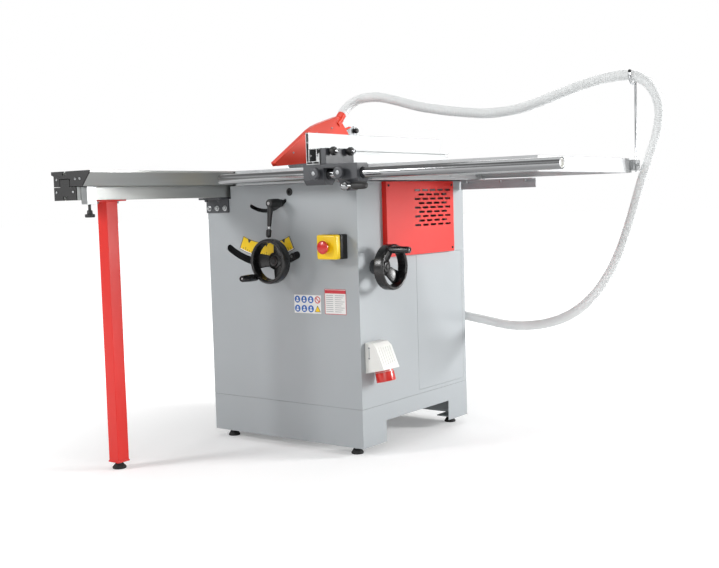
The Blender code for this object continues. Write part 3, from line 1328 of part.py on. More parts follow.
def make_height_drive():
    z = TABLE_TOP - HEIGHT_SHAFT_DROP
    hub = (HEIGHT_SHAFT_X, -0.044, z)
    wheel = make_wheel("height_handwheel", hub, (0, -1, 0), (0, 0, 1))
    inner_end = COLUMN_FRONT + COLUMN_THICK + 0.0007
    weld(wheel, finish("height_shaft", rod(0.0100, (HEIGHT_SHAFT_X, -0.046, z), (0, 1, 0),
                                           0.046 + inner_end, 20)))
    bevel = [(0, 0), (0.0115, 0), (0.0070, 0.0065), (0, 0.0065)]
    weld(wheel, finish("height_bevel", turned(bevel, (HEIGHT_SHAFT_X, inner_end - 0.0002, z), (0, 1, 0), 20)))
    make_crank("height_crank_grip", hub, (0, -1, 0), (-0.0375, 0, -0.0470))
    screw_low = BEAM_HIGH - 0.009
    axis = (HEIGHT_SHAFT_X, SCREW_Y, screw_low)
    profile = [
        (0, 0), (0.0060, 0), (0.0060, 0.0095), (0.0120, 0.0095), (0.0085, 0.0155), (0.0060, 0.0155),
        (0.0060, TABLE_BOTTOM - 0.010 - screw_low), (0, TABLE_BOTTOM - 0.010 - screw_low),
    ]
    finish("lift_screw", turned(profile, axis, (0, 0, 1), 18), "steel", axis)


def make_tilt_drive():
    z = TABLE_TOP - TILT_SHAFT_DROP
    hub = (CABINET_RIGHT + 0.030, TILT_SHAFT_Y, z)
    wheel = make_wheel("tilt_handwheel", hub, (1, 0, 0), (0, 0, 1))
    worm_start = 0.168
    length = hub[0] - worm_start + 0.002
    collar = CABINET_RIGHT - 0.060 - worm_start
    shaft = turned([
        (0, 0), (0.0125, 0), (0.0125, 0.020), (0.0090, 0.023), (0.0090, collar),
        (0.0115, collar), (0.0115, collar + 0.012), (0.0090, collar + 0.012), (0.0090, length),
        (0, length),
    ], (worm_start, TILT_SHAFT_Y, z), (1, 0, 0), 20)
    weld(wheel, finish("tilt_shaft", shaft))
    make_crank("tilt_crank_grip", hub, (1, 0, 0), (0, -0.0300, 0.0520))


def make_lock_lever():
    """Clamp that holds the tilt, reaching through the upper slot."""
    x, z = swing(SLOT_HIGH_RADIUS, LOCK_ANGLE)
    pivot = (x, -0.006, z)
    lever = finish("tilt_lock_lever", turned([
        (0, -0.0380), (0.0042, -0.0380), (0.0042, 0), (0.0115, 0), (0.0115, 0.012),
        (0.0140, 0.016), (0.0145, 0.034), (0.0130, 0.056), (0.0105, 0.060), (0, 0.060),
    ], pivot, (0, -1, 0), 24), "black_plastic", pivot)
    start = Vector((x - 0.002, -0.054, z - 0.006))
    way = Vector((-0.04, -0.10, -1.0))
    arm = turned([
        (0, 0), (0.0095, 0), (0.0078, 0.030), (0.0062, 0.062), (0.0050, 0.065), (0.0050, 0.071),
        (0.0082, 0.074), (0.0082, 0.092), (0.0060, 0.097), (0, 0.098),
    ], start, way, 16)
    weld(lever, finish("tilt_lock_arm", arm))


# ---- suction hose and its rod -------------------------------------------------
HOOK_Y = 0.571
HOOK_Z = 1.095
HOOK_CLEAR = 0.0025
SPIGOT_END = SPIGOT_START + SPIGOT_WAY * (SPIGOT_REACH + GAP)
HOSE_ROUTE = [
    tuple(SPIGOT_END), tuple(SPIGOT_END + SPIGOT_WAY * 0.018), (0.0100, 0.4390, 1.0790),
    (0.0430, 0.4580, 1.0960), (0.1090, 0.4640, 1.0960), (0.1800, 0.4700, 1.0790),
    (0.2530, 0.4760, 1.0570),
    (0.3300, 0.4850, 1.0400), (0.4030, 0.4930, 1.0280), (0.5020, 0.5070, 1.0170),
    (0.5940, 0.5200, 1.0230), (0.6650, 0.5310, 1.0400), (0.7350, 0.5420, 1.0620),
    (0.8150, 0.5530, 1.0850), (0.8850, 0.5640, 1.0980), (0.9530, 0.5710, 1.0980),
    (1.0070, 0.5730, 1.0640), (1.0330, 0.5740, 1.0020), (1.0280, 0.5750, 0.9350),
    (1.0050, 0.5760, 0.8620), (0.9740, 0.5820, 0.7820), (0.9410, 0.5920, 0.6870),
    (0.8980, 0.6020, 0.5780), (0.8550, 0.6100, 0.5020), (0.7960, 0.6180, 0.4300),
    (0.7150, 0.6280, 0.3720), (0.6170, 0.6380, 0.3380), (0.5000, 0.6470, 0.3270),
    (0.3900, 0.6520, 0.3400), (0.2950, 0.6540, PORT_Z), (BRANCH_END + GAP, 0.6540, PORT_Z),
]


def make_hose():
    """Both ends leave their spigots square, so their faces meet flat."""
    spacing = HOSE_RADIUS * 2 * 1.1
    square = 0.006
    points = smooth_route(HOSE_ROUTE, spacing)
    first = Vector(HOSE_ROUTE[0]) + SPIGOT_WAY * square
    last = Vector(HOSE_ROUTE[-1]) + Vector((square, 0, 0))
    points = [points[0], first] + points[1:-1] + [last, points[-1]]
    tube_along("suction_hose", points, HOSE_RADIUS, "clear_hose", rings=2)


def make_hose_rod():
    """Thin rod on the extension's corner, ending in a cradle for the hose."""
    cradle = HOSE_RADIUS + ROD_RADIUS + HOOK_CLEAR
    foot = TABLE_TOP - GAP - EXTENSION_HEIGHT + 0.002
    points = [(ROD_X, HOOK_Y + cradle, foot), (ROD_X, HOOK_Y + cradle, HOOK_Z - 0.004)]
    points += [
        (ROD_X, HOOK_Y + cradle * math.cos(t), HOOK_Z + cradle * math.sin(t))
        for t in [-math.pi * i / 10 for i in range(11)]
    ]
    points.append((ROD_X, HOOK_Y - cradle, HOOK_Z + 0.018))
    tube_along("hose_rod", points, ROD_RADIUS, "steel", rings=2)


def make_rod_clamp():
    cradle = HOSE_RADIUS + ROD_RADIUS + HOOK_CLEAR
    y = HOOK_Y + cradle
    top = TABLE_TOP - GAP
    clamp = finish("rod_clamp", box(
        (EXTENSION_RIGHT + GAP, y - 0.034, top - 0.036), (ROD_X + 0.009, y + 0.009, top - 0.004),
    ), "steel", smooth=False)
    hole = rod(ROD_RADIUS + GAP, (ROD_X, y, top - 0.060), (0, 0, 1), 0.08, 16)
    cut(clamp, finish("clamp_hole", hole))


def main():
    clear_scene()
    make_materials()
    make_datum()
    make_cabinet_shell()
    make_side_panel()
    make_plinth()
    make_feet()
    make_main_table()
    make_table_insert()
    make_extension_table()
    make_extension_support()
    make_fence_rail()
    make_slide()
    make_slide_brackets()
    make_support_leg()
    make_carriage_lock()
    make_fence_casting()
    make_fence_knobs()
    make_fence_lever()
    make_fence_profile()
    make_fence_bracket()
    make_clamp_knobs()
    make_vent_cover()
    make_stop_switch()
    make_power_inlet()
    make_dust_port()
    make_tilt_scale()
    make_trunnion_seats()
    make_tilt_frame()
    make_lift_carriage()
    make_motor()
    make_motor_pulley()
    make_belt()
    make_blade()
    make_arbor()
    make_riving_knife()
    make_blade_guard()
    make_guard_knob()
    make_height_drive()
    make_tilt_drive()
    make_lock_lever()
    make_hose()
    make_hose_rod()
    make_rod_clamp()


main()
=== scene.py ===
"""The looks of a panel saw: finishes, rounded edges, fittings, hose, stage and camera.

Lengths are in metres. Places are counted from the blade's plane (x), the cabinet's
front sheet (y) and the floor (z), and at() turns them into the frame's own places.
"""
import json
import math

import bmesh
import bpy
from mathutils import Matrix, Vector

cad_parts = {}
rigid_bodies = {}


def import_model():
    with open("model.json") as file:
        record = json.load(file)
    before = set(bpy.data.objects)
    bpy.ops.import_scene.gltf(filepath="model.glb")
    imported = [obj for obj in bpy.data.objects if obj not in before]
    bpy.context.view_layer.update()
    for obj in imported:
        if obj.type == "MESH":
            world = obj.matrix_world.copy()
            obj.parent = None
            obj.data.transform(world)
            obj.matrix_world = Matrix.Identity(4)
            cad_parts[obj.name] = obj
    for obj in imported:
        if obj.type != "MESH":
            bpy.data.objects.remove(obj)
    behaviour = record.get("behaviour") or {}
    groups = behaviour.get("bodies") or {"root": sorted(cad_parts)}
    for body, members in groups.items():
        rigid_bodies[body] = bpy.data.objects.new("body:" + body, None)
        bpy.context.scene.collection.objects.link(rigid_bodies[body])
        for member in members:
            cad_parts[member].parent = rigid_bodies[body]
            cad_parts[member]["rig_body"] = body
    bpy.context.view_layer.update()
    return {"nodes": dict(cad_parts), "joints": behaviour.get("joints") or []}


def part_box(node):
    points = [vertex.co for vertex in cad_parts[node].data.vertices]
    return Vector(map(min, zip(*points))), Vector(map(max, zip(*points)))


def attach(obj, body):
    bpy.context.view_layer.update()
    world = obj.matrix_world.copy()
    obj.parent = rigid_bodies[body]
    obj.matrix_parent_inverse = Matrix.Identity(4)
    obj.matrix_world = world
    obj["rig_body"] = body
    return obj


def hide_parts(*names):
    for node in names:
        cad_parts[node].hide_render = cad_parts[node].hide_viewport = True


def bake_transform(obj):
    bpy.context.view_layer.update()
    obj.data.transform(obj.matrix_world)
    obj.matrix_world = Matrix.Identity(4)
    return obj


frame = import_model()

bl_info = {
    "name": "Panel saw",
    "version": (1, 0, 0),
    "blender": (4, 5, 0),
    "location": "3D View > Sidebar > Panel saw",
    "description": "Finishes a cabinet saw with sliding table, rip fence and suction hose",
    "category": "Object",
}


# ---- where things are ---------------------------------------------------------
def middle(node):
    low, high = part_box(node)
    return (low + high) / 2


BLADE_X = middle("saw_blade").x
FRONT_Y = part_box("cabinet_shell")[0].y
TABLE_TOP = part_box("main_table")[1].z
SLIDE_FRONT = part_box("slide_base_cap")[0].y - FRONT_Y
SLIDE_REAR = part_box("slide_base")[1].y - FRONT_Y
CABINET_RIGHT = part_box("cabinet_shell")[1].x - BLADE_X
CABINET_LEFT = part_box("cabinet_shell")[0].x - BLADE_X
CABINET_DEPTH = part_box("cabinet_shell")[1].y - FRONT_Y
TABLE_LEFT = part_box("main_table")[0].x - BLADE_X
TABLE_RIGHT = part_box("main_table")[1].x - BLADE_X
EXTENSION_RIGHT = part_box("extension_table")[1].x - BLADE_X
PORT_Z = middle("dust_port").z

HOSE_ROUTE = [
    (0.0000, 0.4005, 1.0425), (0.0000, 0.4132, 1.0552), (0.0100, 0.4390, 1.0790),
    (0.0430, 0.4580, 1.0960), (0.1090, 0.4640, 1.0960), (0.1800, 0.4700, 1.0790),
    (0.2530, 0.4760, 1.0570), (0.3300, 0.4850, 1.0400), (0.4030, 0.4930, 1.0280),
    (0.5020, 0.5070, 1.0170), (0.5940, 0.5200, 1.0230), (0.6650, 0.5310, 1.0400),
    (0.7350, 0.5420, 1.0620), (0.8150, 0.5530, 1.0850), (0.8850, 0.5640, 1.0980),
    (0.9530, 0.5710, 1.0980), (1.0070, 0.5730, 1.0640), (1.0330, 0.5740, 1.0020),
    (1.0280, 0.5750, 0.9350), (1.0050, 0.5760, 0.8620), (0.9740, 0.5820, 0.7820),
    (0.9410, 0.5920, 0.6870), (0.8980, 0.6020, 0.5780), (0.8550, 0.6100, 0.5020),
    (0.7960, 0.6180, 0.4300), (0.7150, 0.6280, 0.3720), (0.6170, 0.6380, 0.3380),
    (0.5000, 0.6470, 0.3270), (0.3900, 0.6520, 0.3400), (0.2950, 0.6540, 0.3530),
    (0.2303, 0.6540, 0.3530),
]


def at(x, y, z):
    """A place counted from blade plane, cabinet front and floor."""
    return Vector((BLADE_X + x, FRONT_Y + y, z))


def linear(code):
    """An sRGB hex colour as linear light."""
    channels = [int(code[i:i + 2], 16) / 255 for i in (1, 3, 5)]
    return [c / 12.92 if c <= 0.04045 else ((c + 0.055) / 1.055) ** 2.4 for c in channels]


# ---- what a user may change ---------------------------------------------------
class SawSizes(bpy.types.PropertyGroup):
    """Sizes of edges and small fittings."""

    sheet_edge: bpy.props.FloatProperty(
        name="Sheet edge", description="Rounding where cabinet sheet is folded",
        default=0.0012, unit="LENGTH")
    hose_diameter: bpy.props.FloatProperty(
        name="Hose diameter", description="Outer diameter over the ribs",
        default=0.032, unit="LENGTH")
    rib_pitch: bpy.props.FloatProperty(
        name="Rib pitch", description="Distance between ribs of the hose",
        default=0.0056, unit="LENGTH")
    rib_depth: bpy.props.FloatProperty(
        name="Rib depth", description="Depth of the grooves in the hose",
        default=0.0016, unit="LENGTH")
    wheel_diameter: bpy.props.FloatProperty(
        name="Handwheel diameter", description="Outer diameter of both handwheels",
        default=0.135, unit="LENGTH")


class SawColours(bpy.types.PropertyGroup):
    """Colours of the painted and moulded pieces."""

    cabinet: bpy.props.FloatVectorProperty(
        name="Cabinet", description="Powder coat of cabinet and plinth",
        subtype="COLOR", default=linear("#A4A9AC"))
    signal: bpy.props.FloatVectorProperty(
        name="Leg and cover", description="Powder coat of leg and louvred cover",
        subtype="COLOR", default=linear("#D81A0C"))
    guard: bpy.props.FloatVectorProperty(
        name="Guard", description="Moulded blade guard",
        subtype="COLOR", default=linear("#E83A1E"))
    scale: bpy.props.FloatVectorProperty(
        name="Scale", description="Tilt scale and switch lid",
        subtype="COLOR", default=linear("#F4CC06"))
    hose: bpy.props.FloatVectorProperty(
        name="Hose", description="Suction hose",
        subtype="COLOR", default=linear("#EEF0F0"))


class SawStage(bpy.types.PropertyGroup):
    """Camera and light."""

    lens: bpy.props.FloatProperty(
        name="Lens", description="Focal length on a 36 mm sensor", default=52.7, min=10)
    key: bpy.props.FloatProperty(
        name="Key", description="Power of the large front lamp in watts", default=45)
    fill: bpy.props.FloatProperty(
        name="Fill", description="Power of the side lamps in watts", default=36)


# ---- finishes -----------------------------------------------------------------
def add_node(tree, kind, inputs=None, **settings):
    """One node with its settings; an input is a number, a colour or another socket."""
    node = tree.nodes.new(kind)
    for name, value in settings.items():
        setattr(node, name, value)
    for name, value in (inputs or {}).items():
        if isinstance(value, bpy.types.NodeSocket):
            tree.links.new(value, node.inputs[name])
        else:
            node.inputs[name].default_value = value
    return node


def start_finish(name, colour, metallic, roughness):
    finish = bpy.data.materials.new(name)
    finish.use_nodes = True
    tree = finish.node_tree
    shader = tree.nodes["Principled BSDF"]
    shader.inputs["Base Color"].default_value = (*colour, 1.0)
    shader.inputs["Metallic"].default_value = metallic
    shader.inputs["Roughness"].default_value = roughness
    place = add_node(tree, "ShaderNodeTexCoord").outputs["Object"]
    return finish, tree, shader, place


def shade(colour, share):
    return (*[min(1.0, c * share) for c in colour], 1.0)


def powder_coat(name, colour, roughness=0.42):
    """Sprayed and baked polyester: even colour, soft sheen, fine orange peel."""
    finish, tree, shader, place = start_finish(name, colour, 0.0, roughness)
    cloud = add_node(tree, "ShaderNodeTexNoise", {"Vector": place, "Scale": 5.0, "Detail": 3.0})
    tint = add_node(tree, "ShaderNodeMix", {
        0: cloud.outputs["Fac"], 6: shade(colour, 0.955), 7: shade(colour, 1.045),
    }, data_type="RGBA")
    tree.links.new(tint.outputs[2], shader.inputs["Base Color"])
    gloss = add_node(tree, "ShaderNodeMapRange", {
        "Value": cloud.outputs["Fac"], "To Min": roughness - 0.05, "To Max": roughness + 0.06,
    })
    tree.links.new(gloss.outputs["Result"], shader.inputs["Roughness"])
    peel = add_node(tree, "ShaderNodeTexNoise", {"Vector": place, "Scale": 420.0, "Detail": 2.0})
    bump = add_node(tree, "ShaderNodeBump", {
        "Height": peel.outputs["Fac"], "Strength": 0.12, "Distance": 0.0004,
    })
    tree.links.new(bump.outputs["Normal"], shader.inputs["Normal"])
    return finish


def drawn_metal(name, colour, roughness, stretch, depth=0.10, spread=0.08):
    """Metal with marks along one way: extruded, ground or drawn."""
    finish, tree, shader, place = start_finish(name, colour, 1.0, roughness)
    run = add_node(tree, "ShaderNodeMapping", {"Vector": place, "Scale": stretch})
    marks = add_node(tree, "ShaderNodeTexNoise", {
        "Vector": run.outputs["Vector"], "Scale": 60.0, "Detail": 5.0, "Roughness": 0.65,
    })
    tint = add_node(tree, "ShaderNodeMix", {
        0: marks.outputs["Fac"], 6: shade(colour, 0.86), 7: shade(colour, 1.10),
    }, data_type="RGBA")
    tree.links.new(tint.outputs[2], shader.inputs["Base Color"])
    gloss = add_node(tree, "ShaderNodeMapRange", {
        "Value": marks.outputs["Fac"], "To Min": roughness - spread, "To Max": roughness + spread,
    })
    tree.links.new(gloss.outputs["Result"], shader.inputs["Roughness"])
    bump = add_node(tree, "ShaderNodeBump", {
        "Height": marks.outputs["Fac"], "Strength": depth, "Distance": 0.0003,
    })
    tree.links.new(bump.outputs["Normal"], shader.inputs["Normal"])
    return finish


def moulded(name, colour, roughness, grain=700.0, depth=0.08, coat=0.0):
    """Injection-moulded plastic: solid colour, spark-eroded grain, slight sheen."""
    finish, tree, shader, place = start_finish(name, colour, 0.0, roughness)
    shader.inputs["Coat Weight"].default_value = coat
    shader.inputs["Coat Roughness"].default_value = 0.12
    cloud = add_node(tree, "ShaderNodeTexNoise", {"Vector": place, "Scale": 14.0, "Detail": 3.0})
    tint = add_node(tree, "ShaderNodeMix", {
        0: cloud.outputs["Fac"], 6: shade(colour, 0.93), 7: shade(colour, 1.06),
    }, data_type="RGBA")
    tree.links.new(tint.outputs[2], shader.inputs["Base Color"])
    gloss = add_node(tree, "ShaderNodeMapRange", {
        "Value": cloud.outputs["Fac"], "To Min": roughness - 0.04, "To Max": roughness + 0.06,
    })
    tree.links.new(gloss.outputs["Result"], shader.inputs["Roughness"])
    fine = add_node(tree, "ShaderNodeTexNoise", {"Vector": place, "Scale": grain, "Detail": 1.0})
    bump = add_node(tree, "ShaderNodeBump", {
        "Height": fine.outputs["Fac"], "Strength": depth, "Distance": 0.0003,
    })
    tree.links.new(bump.outputs["Normal"], shader.inputs["Normal"])
    return finish


def sand_casting(name, colour, metallic, roughness):
    """Cast iron skin under paint or oil: a coarse, pebbled surface."""
    finish, tree, shader, place = start_finish(name, colour, metallic, roughness)
    sand = add_node(tree, "ShaderNodeTexVoronoi", {"Vector": place, "Scale": 330.0})
    cloud = add_node(tree, "ShaderNodeTexNoise", {"Vector": place, "Scale": 24.0, "Detail": 4.0})
    tint = add_node(tree, "ShaderNodeMix", {
        0: cloud.outputs["Fac"], 6: shade(colour, 0.75), 7: shade(colour, 1.25),
    }, data_type="RGBA")
    tree.links.new(tint.outputs[2], shader.inputs["Base Color"])
    bump = add_node(tree, "ShaderNodeBump", {
        "Height": sand.outputs["Distance"], "Strength": 0.25, "Distance": 0.0005,
    })
    tree.links.new(bump.outputs["Normal"], shader.inputs["Normal"])
    return finish


def blade_steel(name, colour, centre):
    """Ground tool steel: the wheel leaves rings round the bore."""
    finish, tree, shader, place = start_finish(name, colour, 1.0, 0.26)
    centred = add_node(tree, "ShaderNodeMapping", {"Vector": place, "Location": -centre})
    rings = add_node(tree, "ShaderNodeTexWave", {
        "Vector": centred.outputs["Vector"], "Scale": 160.0, "Distortion": 1.5, "Detail": 3.0,
    }, wave_type="RINGS", rings_direction="X")
    tint = add_node(tree, "ShaderNodeMix", {
        0: rings.outputs["Fac"], 6: shade(colour, 0.86), 7: shade(colour, 1.08),
    }, data_type="RGBA")
    tree.links.new(tint.outputs[2], shader.inputs["Base Color"])
    return finish


def make_finishes(colours):
    cabinet = tuple(colours.cabinet)
    signal = tuple(colours.signal)
    return {
        "cabinet": powder_coat("cabinet_powder_coat", cabinet),
        "signal": powder_coat("signal_powder_coat", signal, 0.36),
        "pale": powder_coat("pale_powder_coat", linear("#BFC1C2"), 0.42),
        "motor": powder_coat("motor_enamel", linear("#50565A"), 0.40),
        # Ground with a cup wheel along the table, so the marks run front to back.
        "table": drawn_metal("ground_cast_iron", linear("#B4B6B8"), 0.30, (1.0, 0.05, 1.0)),
        # Clear anodised over the die lines of the extrusion.
        "anodised": drawn_metal("anodised_aluminium", linear("#BEC0BE"), 0.44, (1.0, 0.02, 1.0)),
        "satin": drawn_metal("satin_anodised_aluminium", linear("#A6A8A8"), 0.55, (1.0, 0.02, 1.0), 0.04),
        "zinc": drawn_metal("zinc_plated_steel", linear("#A9ABAC"), 0.30, (1.0, 1.0, 0.4), 0.05),
        "stainless": drawn_metal("brushed_stainless_steel", linear("#B9BBBD"), 0.28, (1.0, 1.0, 0.06)),
        # The chrome's base colour is set darker than bare chrome: painted shade for the dark surroundings a
        # polished tube reflects.
        "chrome": drawn_metal("hard_chrome", linear("#8A8B8C"), 0.16, (0.05, 1.0, 1.0), 0.02, 0.03),
        "turned": drawn_metal("turned_steel", linear("#9C9EA0"), 0.30, (1.0, 0.3, 0.3)),
        "blade": blade_steel("ground_blade_steel", linear("#B5B7B9"), middle("saw_blade")),
        "carbide": drawn_metal("sintered_carbide", linear("#77797B"), 0.40, (1.0, 1.0, 1.0), 0.05),
        "casting": sand_casting("enamelled_cast_iron", linear("#3B3D41"), 0.0, 0.42),
        "iron": sand_casting("bare_cast_iron", linear("#595A5C"), 0.7, 0.50),
        # Thermoset wheels come out of the mould glossy.
        "wheel": moulded("glossy_phenolic", linear("#0B0B0C"), 0.26, 260.0, 0.04),
        "black": moulded("black_polyamide", linear("#0B0B0C"), 0.48),
        "scale": moulded("yellow_polycarbonate", tuple(colours.scale), 0.32),
        "button": moulded("red_polycarbonate", linear("#C81E14"), 0.25, 500.0, 0.03, 0.3),
        "guard": moulded("guard_abs", tuple(colours.guard), 0.30, 500.0, 0.05, 0.15),
        "white": moulded("white_polyamide", linear("#E2E2DE"), 0.36),
        "hose": moulded("flexible_pvc", tuple(colours.hose), 0.34, 500.0, 0.03, 0.1),
        "rubber": moulded("black_rubber", linear("#161616"), 0.75, 500.0, 0.15),
        "ink_black": moulded("black_print", linear("#141414"), 0.5),
        "ink_blue": moulded("blue_print", linear("#1E62B4"), 0.4),
        "ink_red": moulded("red_print", linear("#C4303A"), 0.4),
        "ink_grey": moulded("grey_print", linear("#8C8F92"), 0.45),
        "paper": moulded("white_sign_film", linear("#E6E6E4"), 0.35),
        "dark": moulded("inside_shadow_paint", linear("#0C0C0D"), 0.8),
    }


FINISH = {}


# ---- making pieces ------------------------------------------------------------
def keep_piece(name, bm, finishes, body, nodes=(), sharp=40.0, round_all=True):
    """Turns a bmesh in the frame's places into a finished piece on its body."""
    bmesh.ops.remove_doubles(bm, verts=bm.verts, dist=1e-6)
    bmesh.ops.recalc_face_normals(bm, faces=bm.faces)
    mesh = bpy.data.meshes.new(name)
    bm.to_mesh(mesh)
    bm.free()
    if round_all:
        mesh.shade_smooth()
    mesh.set_sharp_from_angle(angle=math.radians(sharp))
    for finish in finishes:
        mesh.materials.append(FINISH[finish])
    piece = bpy.data.objects.new(name, mesh)
    bpy.context.scene.collection.objects.link(piece)
    if body:
        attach(piece, body)
    if nodes:
        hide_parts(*nodes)
    return piece


def add_block(bm, low, high, edge=0.0, segments=2, finish=0):
    """A block between two corners with rounded edges."""
    made = bmesh.ops.create_cube(bm, size=1.0)["verts"]
    size = Vector(high) - Vector(low)
    bmesh.ops.scale(bm, vec=size, verts=made)
    bmesh.ops.translate(bm, vec=(Vector(low) + Vector(high)) / 2, verts=made)
    edges = list({e for v in made for e in v.link_edges})
    faces = list({f for v in made for f in v.link_faces})
    for face in faces:
        face.material_index = finish
    if edge:
        bmesh.ops.bevel(bm, geom=edges, offset=edge, affect="EDGES", segments=segments,
                        profile=0.5, material=-1)
    return faces


def add_turned(bm, profile, centre, way, steps=48, finish=0):
    """Spins (radius, distance) points round a line; a closed list makes a ring."""
    line = Vector(way).normalized()
    side = line.orthogonal().normalized()
    base = Vector(centre)
    closed = profile[0] == profile[-1]
    points = profile[:-1] if closed else profile
    verts = [bm.verts.new(base + side * r + line * d) for r, d in points]
    edges = [bm.edges.new(pair) for pair in zip(verts, verts[1:])]
    if closed:
        edges.append(bm.edges.new((verts[-1], verts[0])))
    before = set(bm.faces)
    bmesh.ops.spin(bm, geom=verts + edges, cent=base, axis=line, angle=math.tau,
                   steps=steps, use_merge=True)
    made = [face for face in bm.faces if face not in before]
    for face in made:
        face.material_index = finish
    bmesh.ops.remove_doubles(bm, verts=list({v for f in made for v in f.verts}), dist=1e-6)


def eased(profile, radius=0.0008, steps=3):
    """Rounds each inner corner of a turned profile."""
    out = [profile[0]]
    for before, corner, after in zip(profile, profile[1:], profile[2:]):
        a = Vector(before) - Vector(corner)
        b = Vector(after) - Vector(corner)
        reach = min(radius, a.length * 0.45, b.length * 0.45)
        start = Vector(corner) + a.normalized() * reach
        end = Vector(corner) + b.normalized() * reach
        for i in range(steps + 1):
            t = i / steps
            point = start * (1 - t) ** 2 + Vector(corner) * 2 * t * (1 - t) + end * t * t
            out.append((point.x, point.y))
    out.append(profile[-1])
    return out


def add_plate(bm, outline, start, thick, finish=0, edge=0.0):
    """A flat plate: corner points in space, thickness as a vector."""
    verts = [bm.verts.new(Vector(start) + Vector(p)) for p in outline]
    face = bm.faces.new(verts)
    before = set(bm.faces)
    pulled = bmesh.ops.extrude_face_region(bm, geom=[face])["geom"]
    moved = [item for item in pulled if isinstance(item, bmesh.types.BMVert)]
    bmesh.ops.translate(bm, verts=moved, vec=Vector(thick))
    faces = [f for f in bm.faces if f not in before] + [face]
    for one in faces:
        one.material_index = finish
    if edge:
        edges = list({e for f in faces for e in f.edges})
        bmesh.ops.bevel(bm, geom=edges, offset=edge, affect="EDGES", segments=2,
                        profile=0.5, material=-1)


def softened(node, finish, edge=0.0007, sharp=34.0, shading=60.0, flatten=True):
    """A copy of a solid with rounded edges and smooth round faces, in its place."""
    bm = bmesh.new()
    bm.from_mesh(frame["nodes"][node].data)
    bmesh.ops.remove_doubles(bm, verts=bm.verts, dist=1e-5)
    if flatten:
        bmesh.ops.dissolve_limit(bm, angle_limit=math.radians(0.6), verts=bm.verts, edges=bm.edges)
    fold = math.radians(sharp)
    for face in bm.faces:
        face.smooth = any(0.01 < e.calc_face_angle(0.0) < fold for e in face.edges)
    if edge:
        folds = [e for e in bm.edges if e.is_manifold and e.calc_face_angle(0.0) > fold]
        made = bmesh.ops.bevel(bm, geom=folds, offset=edge, affect="EDGES", segments=2, profile=0.5,
                               material=-1, clamp_overlap=False)["faces"]
        for face in made:
            face.smooth = True
    body = frame["nodes"][node]["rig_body"]
    piece = keep_piece(node + "_finished", bm, [finish], body, (node,), shading, False)
    level = piece.modifiers.new("flat_faces_stay_flat", "WEIGHTED_NORMAL")
    level.keep_sharp = True
    return piece


def add_hex_bolt(bm, centre, way, across=0.010, finish=0):
    """Washer, hexagon head and chamfer of a bolt."""
    line = Vector(way).normalized()
    r = across / 2
    add_turned(bm, eased([(0, 0), (r * 1.75, 0), (r * 1.75, 0.0012), (0, 0.0012)], 0.0003), centre,
               line, 28, finish)
    base = Vector(centre) + line * 0.0012
    add_turned(bm, [(0, 0), (r * 1.12, 0), (r * 1.12, r * 1.15), (r * 0.92, r * 1.3), (0, r * 1.3)],
               base, line, 6, finish)


def add_socket_screw(bm, centre, way, radius=0.0045, finish=0):
    """Dome screw with a hexagon socket."""
    line = Vector(way).normalized()
    add_turned(bm, eased([
        (0, 0), (radius, 0), (radius, 0.0012), (radius * 0.7, 0.0028), (radius * 0.42, 0.0030),
        (radius * 0.42, 0.0014), (0, 0.0014),
    ], 0.0003, 2), centre, line, 18, finish)


def bolts(name, places, way, body, across=0.010, finish="zinc", socket=False):
    bm = bmesh.new()
    for place in places:
        if socket:
            add_socket_screw(bm, place, way, across / 2)
        else:
            add_hex_bolt(bm, place, way, across)
    return keep_piece(name, bm, [finish], body, sharp=35.0)


def rod_curve(name, points, radius, finish, body, nodes=()):
    """A bent rod as a smooth tube."""
    curve = bpy.data.curves.new(name, "CURVE")
    curve.dimensions = "3D"
    curve.bevel_depth = radius
    curve.bevel_resolution = 6
    curve.use_fill_caps = True
    spline = curve.splines.new("POLY")
    spline.points.add(len(points) - 1)
    for spot, point in zip(spline.points, points):
        spot.co = (*point, 1.0)
    curve.materials.append(FINISH[finish])
    made = bpy.data.objects.new(name, curve)
    bpy.context.scene.collection.objects.link(made)
    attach(made, body)
    if nodes:
        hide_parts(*nodes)
    return made


# ---- hose ---------------------------------------------------------------------
def smooth_route(points, spacing):
    """Even points along a smooth curve through a route's own points."""
    route = [Vector(p) for p in points]
    route = [route[0] * 2 - route[1]] + route + [route[-1] * 2 - route[-2]]
    fine = []
    for a, b, c, d in zip(route, route[1:], route[2:], route[3:]):
        for i in range(24):
            t = i / 24
            fine.append(0.5 * (
                2 * b + (c - a) * t + (2 * a - 5 * b + 4 * c - d) * t ** 2
                + (3 * b - a - 3 * c + d) * t ** 3
            ))
    fine.append(route[-2])
    length = sum((q - p).length for p, q in zip(fine, fine[1:]))
    count = round(length / spacing)
    even = [fine[0]]
    walked = 0.0
    for p, q in zip(fine, fine[1:]):
        step = (q - p).length
        while step > 0 and len(even) < count and walked + step >= length / count * len(even):
            even.append(p.lerp(q, (length / count * len(even) - walked) / step))
        walked += step
    return even + [fine[-1]], length


def frames_along(path):
    """A place and two square directions for every point, without twist."""
    ways = []
    for i in range(len(path)):
        ways.append((path[min(i + 1, len(path) - 1)] - path[max(i - 1, 0)]).normalized())
    side = ways[0].orthogonal().normalized()
    out = []
    for place, way in zip(path, ways):
        side = (side - way * side.dot(way)).normalized()
        out.append((place, side, way.cross(side)))
    return out


